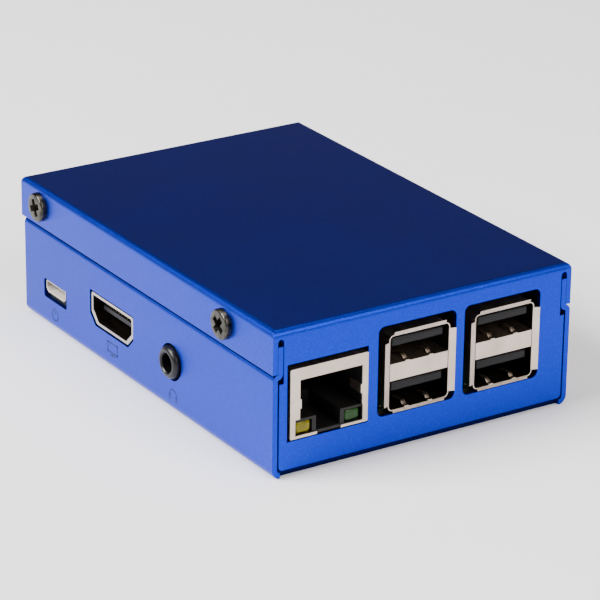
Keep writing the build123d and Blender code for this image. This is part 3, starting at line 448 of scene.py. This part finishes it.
def rolled_metal_group():
    """Node group of rolled or turned metal: fine parallel scratches and smudges."""
    group = bpy.data.node_groups.new("rolled_metal", "ShaderNodeTree")
    for name, value in (("Scratch Scale", 900.0), ("Smudge Scale", 120.0)):
        socket = group.interface.new_socket(name, in_out="INPUT", socket_type="NodeSocketFloat")
        socket.default_value = value
    for name in ("Scratches", "Smudges"):
        group.interface.new_socket(name, in_out="OUTPUT", socket_type="NodeSocketFloat")
    start = add_node(group, "NodeGroupInput")
    end = add_node(group, "NodeGroupOutput")
    place = add_node(group, "ShaderNodeTexCoord")
    along = add_node(group, "ShaderNodeMapping")
    along.inputs["Scale"].default_value = SCRATCH_STRETCH
    scratches = add_node(group, "ShaderNodeTexNoise")
    scratches.inputs["Detail"].default_value = 5
    smudges = add_node(group, "ShaderNodeTexNoise")
    smudges.inputs["Detail"].default_value = 3
    group.links.new(place.outputs["Object"], along.inputs["Vector"])
    group.links.new(along.outputs["Vector"], scratches.inputs["Vector"])
    group.links.new(place.outputs["Object"], smudges.inputs["Vector"])
    group.links.new(start.outputs["Scratch Scale"], scratches.inputs["Scale"])
    group.links.new(start.outputs["Smudge Scale"], smudges.inputs["Scale"])
    group.links.new(scratches.outputs["Fac"], end.inputs["Scratches"])
    group.links.new(smudges.outputs["Fac"], end.inputs["Smudges"])
    return group


rolled_metal = rolled_metal_group()


def bare_metal(name, dark, light, rough, scratch, smudge):
    """Plated, turned or drawn metal with scratches along its grain and faint smudges."""
    material, tree, shader = new_material(name)
    skin = add_node(tree, "ShaderNodeGroup", node_tree=rolled_metal)
    skin.inputs["Scratch Scale"].default_value = scratch
    skin.inputs["Smudge Scale"].default_value = smudge
    tone = spread(tree, skin.outputs["Smudges"], 0.0, 1.0)
    tree.links.new(between(tree, tone, dark, light), shader.inputs["Base Color"])
    tree.links.new(spread(tree, skin.outputs["Scratches"], *rough), shader.inputs["Roughness"])
    shader.inputs["Metallic"].default_value = 1.0
    pit(tree, shader, skin.outputs["Scratches"], SCRATCH_STRENGTH, SCRATCH_DEPTH)
    return material


blackened_steel = bare_metal("blackened_steel", (0.022, 0.021, 0.017), (0.085, 0.08, 0.066), (0.22, 0.36),
                             1600.0, 900.0)
lid_screw_master = pan_head_screw("lid_screw", HEAD_RADIUS, HEAD_HEIGHT, SHANK_RADIUS, SHANK_LENGTH)
for row, side in enumerate((-1, 1)):
    for number, station in enumerate(SCREW_STATIONS):
        screw = twin(lid_screw_master, f"lid_screw_{row * len(SCREW_STATIONS) + number + 1}")
        settle(screw, turn=(0, 0, RECESS_TURN + RECESS_STEP * number))
        settle(screw, turn=(-90 * side, 0, 0), place=(station, side * WALL_OUTSIDE, SCREW_LINE_Z))
        finished(screw, blackened_steel, "dark_screw_steel", CASE_BODY, "lid_screws")
bpy.data.objects.remove(lid_screw_master)

# ---------------------------------------------------------------- clinch nuts, pillars and board screws
# The nuts and pillars are turned from steel, plated with zinc and pressed into the tray.
# Four short screws hold the board on its pillars.
BOARD_TOP = 6.8 * MM
BOARD_SCREW_PLACES = [(x * MM, y * MM) for x in (-39.0, 19.0) for y in (-26.55, 22.45)]
BOARD_HEAD_RADIUS = 2.25 * MM
BOARD_HEAD_HEIGHT = 1.6 * MM
BOARD_SHANK_RADIUS = 1.2 * MM
BOARD_SHANK_LENGTH = 4.6 * MM
BOARD_SCREW_STEP = 17
TURNED_EDGE = 0.08 * MM

zinc_plate = bare_metal("zinc_plate", (0.52, 0.53, 0.55), (0.68, 0.69, 0.71), (0.26, 0.38), 700.0, 300.0)
for node in ("clinch_nuts", "board_pillars"):
    turned = eased_copy(node, f"turned_{node}", TURNED_EDGE)
    turned.data.materials.append(zinc_plate)
board_screw_master = pan_head_screw("board_screw", BOARD_HEAD_RADIUS, BOARD_HEAD_HEIGHT, BOARD_SHANK_RADIUS,
                                    BOARD_SHANK_LENGTH)
for number, (x, y) in enumerate(BOARD_SCREW_PLACES, start=1):
    screw = twin(board_screw_master, f"board_screw_{number}")
    settle(screw, turn=(0, 0, BOARD_SCREW_STEP * number), place=(x, y, BOARD_TOP))
    finished(screw, zinc_plate, "zinc_steel", CASE_BODY, "board_screws")
bpy.data.objects.remove(board_screw_master)

# ---------------------------------------------------------------- etched marks
# Small plain signs under the power, screen and audio sockets.
# A laser burns the dye off in a hair-thin layer, so the marks are darker and duller than the case.
MARK_DEPTH = 0.012 * MM
MARK_FACE = -WALL_OUTSIDE - MARK_DEPTH / 2
MARK_SIDES = 40
MARK_CORNER = 0.06 * MM
PAD_CORNER = 0.1 * MM
BURNT_DULL = (0.02, 0.035, 0.16)
BURNT_BRIGHT = (0.04, 0.06, 0.24)
BURNT_ROUGHNESS = (0.6, 0.75)
POWER_RING = (1.3 * MM, 0.36 * MM)
POWER_GAP = 0.5
POWER_BAR = (0.36 * MM, 1.3 * MM, (0, 0.85 * MM))
SCREEN_BARS = (
    (3.8 * MM, 0.36 * MM, (0, 1.0 * MM)),
    (3.8 * MM, 0.36 * MM, (0, -0.86 * MM)),
    (0.36 * MM, 2.2 * MM, (-1.72 * MM, 0.07 * MM)),
    (0.36 * MM, 2.2 * MM, (1.72 * MM, 0.07 * MM)),
    (0.6 * MM, 0.4 * MM, (0, -1.2 * MM)),
    (1.9 * MM, 0.32 * MM, (0, -1.46 * MM)),
)
HEAD_BAND = (1.35 * MM, 0.32 * MM)
HEAD_BAND_END = -0.05 * MM
EAR_PAD = (0.62 * MM, 1.1 * MM)
EAR_PAD_X = 1.12 * MM
EAR_PAD_Z = -0.4 * MM
POWER_SIGN_PLACE = (-32.2 * MM, 3.1 * MM)
SCREEN_SIGN_PLACE = (-10.2 * MM, 4.2 * MM)
HEADPHONE_SIGN_PLACE = (11.6 * MM, 3.1 * MM)


def mark_ring(name, radius, width, kept):
    """Flat ring in the wall's plane, less the faces whose middles fail the test."""
    bpy.ops.object.select_all(action="DESELECT")
    bpy.ops.mesh.primitive_cylinder_add(vertices=MARK_SIDES, radius=radius, depth=MARK_DEPTH,
                                        rotation=(math.pi / 2, 0, 0))
    ring = fresh(name)
    bpy.ops.object.transform_apply()
    pick(ring, lambda face: abs(face.normal.y) > 0.9)
    bpy.ops.mesh.inset(thickness=width)
    bpy.ops.mesh.bridge_edge_loops()
    bpy.ops.object.mode_set(mode="OBJECT")
    pick(ring, lambda face: not kept(face.center))
    bpy.ops.mesh.delete(type="FACE")
    bpy.ops.mesh.select_all(action="SELECT")
    bpy.ops.mesh.fill_holes(sides=4)
    bpy.ops.mesh.normals_make_consistent(inside=False)
    bpy.ops.object.mode_set(mode="OBJECT")
    return ring


def mark_bar(name, width, height, place, corner=MARK_CORNER):
    """Flat bar in the wall's plane with rounded corners."""
    bpy.ops.object.select_all(action="DESELECT")
    middle = (place[0], 0, place[1])
    bpy.ops.mesh.primitive_cube_add(size=1, location=middle, scale=(width, MARK_DEPTH, height))
    bar = settle(fresh(name), place=middle)
    bevel = bar.modifiers.new("corner", "BEVEL")
    bevel.affect = "EDGES"
    bevel.width = corner
    bevel.segments = 2
    bevel.use_clamp_overlap = True
    bpy.ops.object.modifier_apply(modifier="corner")
    return bar


def etched_sign(name, strokes, place):
    """Joins the strokes of a sign and sets it on the wall."""
    sign = settle(merged(strokes, name), place=(place[0], MARK_FACE, place[1]))
    finished(sign, burnt_dye, "blue_anodised", CASE_BODY)


burnt_dye, tree, shader = new_material("burnt_dye")
grain = add_node(tree, "ShaderNodeGroup", node_tree=blasted_grain)
# Painted glints here too, from the facet mask.
tree.links.new(between(tree, grain.outputs["Glints"], BURNT_DULL, BURNT_BRIGHT), shader.inputs["Base Color"])
tree.links.new(spread(tree, grain.outputs["Mottle"], *BURNT_ROUGHNESS), shader.inputs["Roughness"])
shader.inputs["Metallic"].default_value = 0.6
power_ring = mark_ring("power_ring", *POWER_RING,
                       lambda middle: not (middle.z > 0 and abs(middle.x) < POWER_GAP * middle.z))
etched_sign("power_sign", [power_ring, mark_bar("power_bar", *POWER_BAR)], POWER_SIGN_PLACE)
screen_bars = [mark_bar(f"screen_bar_{number}", *bar) for number, bar in enumerate(SCREEN_BARS, start=1)]
etched_sign("screen_sign", screen_bars, SCREEN_SIGN_PLACE)
head_band = mark_ring("head_band", *HEAD_BAND, lambda middle: middle.z > HEAD_BAND_END)
ear_pads = [mark_bar(f"ear_pad_{side}", *EAR_PAD, (side * EAR_PAD_X, EAR_PAD_Z), PAD_CORNER)
            for side in (-1, 1)]
etched_sign("headphone_sign", [head_band, *ear_pads], HEADPHONE_SIGN_PLACE)

# ---------------------------------------------------------------- circuit board
# Glass-cloth laminate under a glossy green lacquer, with copper tracks raised faintly under it.
# Plated holes and the bare pads show as small gold-coloured dots.
BOARD_EDGE = 0.06 * MM
TRACK_SCALE = 260
TRACK_GAP = 0.03
TRACK_DARK = (0.004, 0.05, 0.018)
TRACK_LIGHT = (0.012, 0.13, 0.045)
TRACK_STRENGTH = 0.3
TRACK_HEIGHT = 0.03 * MM
PAD_SCALE = 420
PAD_RIM = (0.13, 0.17)
PAD_GOLD = (0.62, 0.5, 0.22, 1)
LACQUER_SCALE = 900
LACQUER_ROUGHNESS = (0.22, 0.34)
SAWN_SCALE = 1500
SAWN_STRETCH = (1, 1, 6)
SAWN_DARK = (0.010, 0.014, 0.008)
SAWN_LIGHT = (0.03, 0.034, 0.02)
SAWN_GRIT = 2600
SAWN_ROUGHNESS = (0.6, 0.8)

lacquer, tree, shader = new_material("board_lacquer")
place = add_node(tree, "ShaderNodeTexCoord")
lanes = add_node(tree, "ShaderNodeTexBrick")
lanes.inputs["Scale"].default_value = TRACK_SCALE
lanes.inputs["Mortar Size"].default_value = TRACK_GAP
lanes.inputs["Color1"].default_value = (0.2, 0.2, 0.2, 1)
lanes.inputs["Color2"].default_value = (0.6, 0.6, 0.6, 1)
lanes.inputs["Mortar"].default_value = (0.0, 0.0, 0.0, 1)
dots = add_node(tree, "ShaderNodeTexVoronoi", feature="F1")
dots.inputs["Scale"].default_value = PAD_SCALE
tree.links.new(place.outputs["Object"], lanes.inputs["Vector"])
tree.links.new(place.outputs["Object"], dots.inputs["Vector"])
lane_tone = between(tree, lanes.outputs["Color"], TRACK_DARK, TRACK_LIGHT)
pad_mask = spread(tree, dots.outputs["Distance"], 1.0, 0.0, *PAD_RIM)
pads = add_node(tree, "ShaderNodeMix", data_type="RGBA")
pads.inputs["B"].default_value = PAD_GOLD
tree.links.new(lane_tone, pads.inputs["A"])
tree.links.new(pad_mask, pads.inputs["Factor"])
tree.links.new(pads.outputs["Result"], shader.inputs["Base Color"])
waves = object_noise(tree, LACQUER_SCALE)
tree.links.new(spread(tree, waves, *LACQUER_ROUGHNESS), shader.inputs["Roughness"])
shader.inputs["Coat Weight"].default_value = 0.5
shader.inputs["Coat Roughness"].default_value = 0.15
pit(tree, shader, lanes.outputs["Fac"], TRACK_STRENGTH, TRACK_HEIGHT)
board = eased_copy("circuit_board", "laminate_board", BOARD_EDGE)
board.data.materials.append(lacquer)
sawn_edge, tree, shader = new_material("sawn_edge")
layers = object_noise(tree, SAWN_SCALE, detail=3, stretch=SAWN_STRETCH)
tree.links.new(between(tree, layers, SAWN_DARK, SAWN_LIGHT), shader.inputs["Base Color"])
tree.links.new(spread(tree, object_noise(tree, SAWN_GRIT), *SAWN_ROUGHNESS), shader.inputs["Roughness"])
second_finish(board, sawn_edge, lambda face: abs(face.normal.z) < 0.5)

# ---------------------------------------------------------------- network jack
# A folded, nickel-plated shield over a black moulding, with eight gold-flashed wires.
# A lens of dyed clear resin sits in each lower corner in front of its light.
FLOW_SCALE = 260
SKIN_SCALE = 5000.0
SKIN_STRENGTH = 0.35
SKIN_DEPTH = 0.012 * MM
LENS_CLOUD_SCALE = 420
LENS_SKIN_SCALE = 2600
LENS_ROUGHNESS = (0.14, 0.22)
LENS_SHINE = 0.2


def moulded_skin_group():
    """Node group of moulded plastic: the mould's fine spark texture and flow mottling."""
    group = bpy.data.node_groups.new("moulded_skin", "ShaderNodeTree")
    socket = group.interface.new_socket("Texture Scale", in_out="INPUT", socket_type="NodeSocketFloat")
    socket.default_value = SKIN_SCALE
    for name in ("Texture", "Flow"):
        group.interface.new_socket(name, in_out="OUTPUT", socket_type="NodeSocketFloat")
    start = add_node(group, "NodeGroupInput")
    end = add_node(group, "NodeGroupOutput")
    place = add_node(group, "ShaderNodeTexCoord")
    texture = add_node(group, "ShaderNodeTexNoise")
    texture.inputs["Detail"].default_value = 3
    flow = add_node(group, "ShaderNodeTexNoise")
    flow.inputs["Scale"].default_value = FLOW_SCALE
    flow.inputs["Detail"].default_value = 2
    for node in (texture, flow):
        group.links.new(place.outputs["Object"], node.inputs["Vector"])
    group.links.new(start.outputs["Texture Scale"], texture.inputs["Scale"])
    group.links.new(texture.outputs["Fac"], end.inputs["Texture"])
    group.links.new(flow.outputs["Fac"], end.inputs["Flow"])
    return group


moulded_skin = moulded_skin_group()


def moulding(name, dark, light, rough=(0.42, 0.56), texture=SKIN_SCALE, shine=0.5):
    """Moulded plastic with a spark-textured skin and faint flow lines."""
    material, tree, shader = new_material(name)
    skin = add_node(tree, "ShaderNodeGroup", node_tree=moulded_skin)
    skin.inputs["Texture Scale"].default_value = texture
    tree.links.new(between(tree, skin.outputs["Flow"], dark, light), shader.inputs["Base Color"])
    tree.links.new(spread(tree, skin.outputs["Texture"], *rough), shader.inputs["Roughness"])
    shader.inputs["Specular IOR Level"].default_value = shine
    pit(tree, shader, skin.outputs["Texture"], SKIN_STRENGTH, SKIN_DEPTH)
    return material


def lens_resin(name, deep, lit):
    """Dyed clear resin in front of a light, clouded in places."""
    material, tree, shader = new_material(name)
    tone = spread(tree, object_noise(tree, LENS_CLOUD_SCALE), 0.0, 1.0)
    tree.links.new(between(tree, tone, deep, lit), shader.inputs["Base Color"])
    skin = object_noise(tree, LENS_SKIN_SCALE)
    tree.links.new(spread(tree, skin, *LENS_ROUGHNESS), shader.inputs["Roughness"])
    shader.inputs["Specular IOR Level"].default_value = LENS_SHINE
    return material


def eased_part(node, name, edge, material, body=CASE_BODY):
    """Eased copy of a part with its material and slot. The edge is in millimetres."""
    piece = eased_copy(node, name, edge * MM, body)
    piece.data.materials.append(material)
    return piece


plated_sheet = bare_metal("plated_sheet", (0.47, 0.385, 0.32), (0.60, 0.51, 0.435), (0.27, 0.4),
                          1100.0, 210.0)
black_moulding = moulding("black_moulding", (0.003, 0.003, 0.003), (0.008, 0.007, 0.007), shine=0.25)
gold_flash = bare_metal("gold_flash", (0.70, 0.50, 0.20), (0.86, 0.66, 0.33), (0.2, 0.32), 1400.0, 500.0)
yellow_resin = lens_resin("yellow_resin", (0.10, 0.085, 0.001), (0.22, 0.19, 0.003))
green_resin = lens_resin("green_resin", (0.006, 0.026, 0.005), (0.016, 0.06, 0.012))
eased_part("ethernet_shield", "network_shield", 0.09, plated_sheet)
eased_part("ethernet_housing", "network_moulding", 0.08, black_moulding)
eased_part("ethernet_contacts", "network_wires", 0.04, gold_flash)
eased_part("link_light_yellow", "yellow_lens", 0.03, yellow_resin)
eased_part("activity_light_green", "green_lens", 0.03, green_resin)

# ---------------------------------------------------------------- double USB sockets
# Each socket is a tall plated shell with flared lips round two mouths and a bar between them.
# In each mouth hangs a moulded tongue, and two fingers of the shell spring up from the floor.
# The sizes in this section are in millimetres.
USB_CENTRES = (-1.2, 16.95)
USB_FLOORS = (7.4, 16.1)
USB_ROOFS = (12.9, 21.3)
PORT_FACE_X = 45.15
TONGUE_FRONT = PORT_FACE_X - 1.0
TONGUE_DEPTH = 11.8
TONGUE_DROP = 0.5
TONGUE_THICK = 1.84
TONGUE_WIDTH = 11.0
TONGUE_NOSE = 0.45
TONGUE_EDGE = 0.12
LIP_DEPTH = 0.9
FINGER_Y = 2.5
FINGER_WIDTH = 0.9
FINGER_ROOT = 0.4
FINGER_SETBACK = 0.55
FINGER_LIFT = 0.12
FINGER_WALL = 0.22
FINGER_EDGE = 0.06
FINGER_PATH = ((-0.35, 0.0), (-0.3, 0.26), (-0.35, 0.3), (-0.4, 0.08), (-1.2, -0.2), (-1.4, -0.24))


def usb_tongue(name, y, roof):
    """Tongue with a soft round at its front edges."""
    bpy.ops.object.select_all(action="DESELECT")
    middle = ((TONGUE_FRONT - TONGUE_DEPTH / 2) * MM, y * MM, (roof - TONGUE_DROP - TONGUE_THICK / 2) * MM)
    size = (TONGUE_DEPTH * MM, TONGUE_WIDTH * MM, TONGUE_THICK * MM)
    bpy.ops.mesh.primitive_cube_add(size=1, location=middle, scale=size)
    tongue = fresh(name)
    bpy.ops.object.transform_apply()
    pick(tongue, lambda face: face.normal.x > 0.9)
    bpy.ops.mesh.bevel(offset=TONGUE_NOSE * MM, segments=5, affect="EDGES")
    bpy.ops.object.mode_set(mode="OBJECT")
    return round_edges(tongue, TONGUE_EDGE * MM, 2, 60)


def spring_finger(name, y, floor):
    """Finger of the shell that springs up into the mouth and dips again at its tip."""
    bpy.ops.object.select_all(action="DESELECT")
    start = (PORT_FACE_X - FINGER_SETBACK) * MM
    bpy.ops.mesh.primitive_plane_add(size=1, location=(start, y * MM, (floor + FINGER_LIFT) * MM))
    finger = fresh(name)
    bpy.ops.transform.resize(value=(FINGER_ROOT * MM, FINGER_WIDTH * MM, 1))
    bpy.ops.object.transform_apply()
    bpy.ops.object.mode_set(mode="EDIT")
    bpy.ops.mesh.select_mode(type="EDGE")
    bpy.ops.mesh.select_all(action="DESELECT")
    bpy.ops.object.mode_set(mode="OBJECT")
    for edge in finger.data.edges:
        edge.select = all(finger.data.vertices[v].co.x < start for v in edge.vertices)
    bpy.ops.object.mode_set(mode="EDIT")
    for forward, up in FINGER_PATH:
        bpy.ops.mesh.extrude_region_move(TRANSFORM_OT_translate={"value": (forward * MM, 0, up * MM)})
    bpy.ops.object.mode_set(mode="OBJECT")
    only(finger)
    wall = finger.modifiers.new("wall", "SOLIDIFY")
    wall.thickness = FINGER_WALL * MM
    wall.offset = 0
    bpy.ops.object.modifier_apply(modifier="wall")
    return round_edges(finger, FINGER_EDGE * MM, 2, 40)


def faces_inward(piece):
    """Test of a face that looks to the middle of its shell."""
    corners = [Vector(corner) for corner in piece.bound_box]
    middle = sum(corners, Vector()) / len(corners)
    return lambda face: face.normal.dot(middle - face.center) > 0


# The inner walls of the socket shells take a near-black metal: painted shade inside the mouths.
painted_shade_sheet = bare_metal("painted_shade_sheet", (0.018, 0.014, 0.011), (0.04, 0.031, 0.024), (0.4, 0.55), 1100.0, 210.0)
tongue_moulding = moulding("tongue_moulding", (0.002, 0.002, 0.003), (0.005, 0.005, 0.006), (0.34, 0.44),
                           shine=0.2)
finger_metal = bare_metal("finger_metal", (0.48, 0.40, 0.31), (0.66, 0.56, 0.45), (0.22, 0.36), 1100.0, 400.0)
for number, y in enumerate(USB_CENTRES, start=1):
    shell = eased_part(f"usb_shell_{number}", f"usb_plated_shell_{number}", 0.06, plated_sheet)
    inward = faces_inward(shell)
    # Painted shade on the faces inside each mouth, behind the lips.
    second_finish(shell, painted_shade_sheet,
                  lambda face: face.center.x < (PORT_FACE_X - LIP_DEPTH) * MM and inward(face))
    eased_part(f"usb_contacts_{number}", f"usb_strips_{number}", 0.03, gold_flash)
    for level, (floor, roof) in enumerate(zip(USB_FLOORS, USB_ROOFS), start=1):
        tongue = usb_tongue(f"usb_tongue_{number}_{level}", y, roof)
        finished(tongue, tongue_moulding, "usb_tongue_moulding", CASE_BODY, f"usb_tongues_{number}")
        for side in (-1, 1):
            finger = spring_finger(f"usb_finger_{number}_{level}_{side + 1}", y + side * FINGER_Y, floor)
            finished(finger, finger_metal, "connector_steel", CASE_BODY)

# ---------------------------------------------------------------- HDMI, power and audio sockets
# The HDMI and power sockets have drawn, plated shells round a moulded tongue.
# The audio socket is one glossy black moulding whose barrel stands through the case.
HDMI_RIM_Y = -31.0 * MM
POWER_MIDDLE_Z = 8.0 * MM

glossy_moulding = moulding("glossy_moulding", (0.002, 0.002, 0.002), (0.005, 0.004, 0.004), (0.3, 0.4),
                           3800.0, shine=0.3)
cream_moulding = moulding("cream_moulding", (0.50, 0.46, 0.39), (0.62, 0.58, 0.51), (0.4, 0.52))
tinned_metal = bare_metal("tinned_metal", (0.50, 0.50, 0.50), (0.66, 0.66, 0.65), (0.3, 0.44), 1000.0, 600.0)
shell_metal = bare_metal("shell_metal", (0.40, 0.36, 0.32), (0.54, 0.49, 0.44), (0.24, 0.36), 1100.0, 300.0)
hdmi_shell = eased_part("hdmi_shell", "hdmi_drawn_shell", 0.2, shell_metal)
inward = faces_inward(hdmi_shell)
# Painted shade on the inner walls of the HDMI shell, behind its rim.
second_finish(hdmi_shell, painted_shade_sheet, lambda face: face.center.y > HDMI_RIM_Y and inward(face))
eased_part("hdmi_tongue", "hdmi_moulded_tongue", 0.1, tongue_moulding)
eased_part("hdmi_contacts", "hdmi_strips", 0.02, gold_flash)
power_shell = eased_part("power_socket_shell", "power_drawn_shell", 0.1, shell_metal)
# Painted light: the upward faces low inside the power shell take the pale cream moulding, to stand for its
# brightly lit inner floor.
second_finish(power_shell, cream_moulding,
              lambda face: face.normal.z > 0.3 and face.center.z < POWER_MIDDLE_Z)
eased_part("power_socket_tongue", "power_moulded_tongue", 0.1, black_moulding)
eased_part("av_jack_body", "audio_moulding", 0.12, glossy_moulding)
eased_part("av_jack_contacts", "audio_tabs", 0.04, tinned_metal)

# ---------------------------------------------------------------- pin header and flat-cable connectors
# The header is a black moulded strip with forty square gold-flashed pins.
# The two flat-cable connectors are cream mouldings with brown latches that lift.
latch_moulding = moulding("latch_moulding", (0.028, 0.02, 0.014), (0.06, 0.045, 0.033))
eased_part("header_base", "header_strip", 0.06, black_moulding)
eased_part("header_pins", "header_pin_rows", 0.03, gold_flash)
for place_name in ("camera", "display"):
    stem = f"{place_name}_connector"
    eased_part(f"{stem}_body", f"{place_name}_housing", 0.1, cream_moulding)
    eased_part(f"{stem}_latch", f"{place_name}_latch_bar", 0.08, latch_moulding,
               f"{place_name}_latch")
    eased_part(f"{stem}_leads", f"{place_name}_leads", 0.03, tinned_metal)

# ---------------------------------------------------------------- chips and small parts
# Moulded epoxy packages, sintered inductors, drawn aluminium cans and fired ceramics.
# All are soldered on the board's top, apart from the memory, which is under the processor.
epoxy_package = moulding("epoxy_package", (0.012, 0.012, 0.013), (0.022, 0.022, 0.023), (0.5, 0.66), 7000.0)
ferrite_block = moulding("ferrite_block", (0.035, 0.034, 0.034), (0.075, 0.073, 0.07), (0.6, 0.8), 3000.0)
fuse_lacquer = moulding("fuse_lacquer", (0.03, 0.14, 0.05), (0.06, 0.24, 0.09), (0.35, 0.5))
fired_ceramic = moulding("fired_ceramic", (0.30, 0.19, 0.10), (0.46, 0.32, 0.19), (0.5, 0.62), 3600.0)
resistor_glaze = moulding("resistor_glaze", (0.008, 0.008, 0.009), (0.03, 0.03, 0.032), (0.3, 0.45), 3600.0)
status_resin = lens_resin("status_resin", (0.6, 0.6, 0.5), (0.85, 0.85, 0.78))
drawn_can = bare_metal("drawn_can", (0.58, 0.58, 0.60), (0.74, 0.74, 0.75), (0.2, 0.34), 600.0, 200.0)
SMALL_PART_EDGE = 0.05
SMALL_PARTS = (
    ("processor", epoxy_package, "chip_package"), ("memory_chip", epoxy_package, "chip_package"),
    ("usb_network_chip", epoxy_package, "chip_package"), ("power_regulator", epoxy_package, "chip_package"),
    ("audio_filter_chip", epoxy_package, "chip_package"), ("input_fuse", fuse_lacquer, "fuse_green"),
    ("power_inductors", ferrite_block, "ferrite"), ("can_capacitors", drawn_can, "capacitor_can"),
    ("crystals", drawn_can, "capacitor_can"), ("ceramic_capacitors", fired_ceramic, "ceramic_tan"),
    ("chip_resistors", resistor_glaze, "resistor_black"), ("status_lights", status_resin, "light_white"),
)
for node, material, slot_name in SMALL_PARTS:
    eased_part(node, f"soldered_{node}", SMALL_PART_EDGE, material)

# ---------------------------------------------------------------- card socket and card
# The socket is a thin plated cover over a black frame, under the end of the board.
# A white cam slider on a small spring pushes the memory card out.
card_moulding = moulding("card_moulding", (0.010, 0.010, 0.012), (0.02, 0.02, 0.023), (0.35, 0.48))
slider_moulding = moulding("slider_moulding", (0.62, 0.62, 0.60), (0.76, 0.76, 0.74))
spring_wire = bare_metal("spring_wire", (0.44, 0.44, 0.45), (0.62, 0.62, 0.63), (0.22, 0.34), 900.0, 500.0)
eased_part("sd_socket_base", "card_frame", 0.06, black_moulding)
eased_part("sd_socket_cover", "card_cover", 0.03, shell_metal)
eased_part("sd_socket_contacts", "card_tails", 0.03, gold_flash)
eased_part("sd_slider", "card_slider", 0.05, slider_moulding, "sd_slider")
eased_part("sd_card", "memory_card", 0.05, card_moulding, "sd_card")
nodes["sd_spring"].data.materials.clear()
nodes["sd_spring"].data.materials.append(spring_wire)
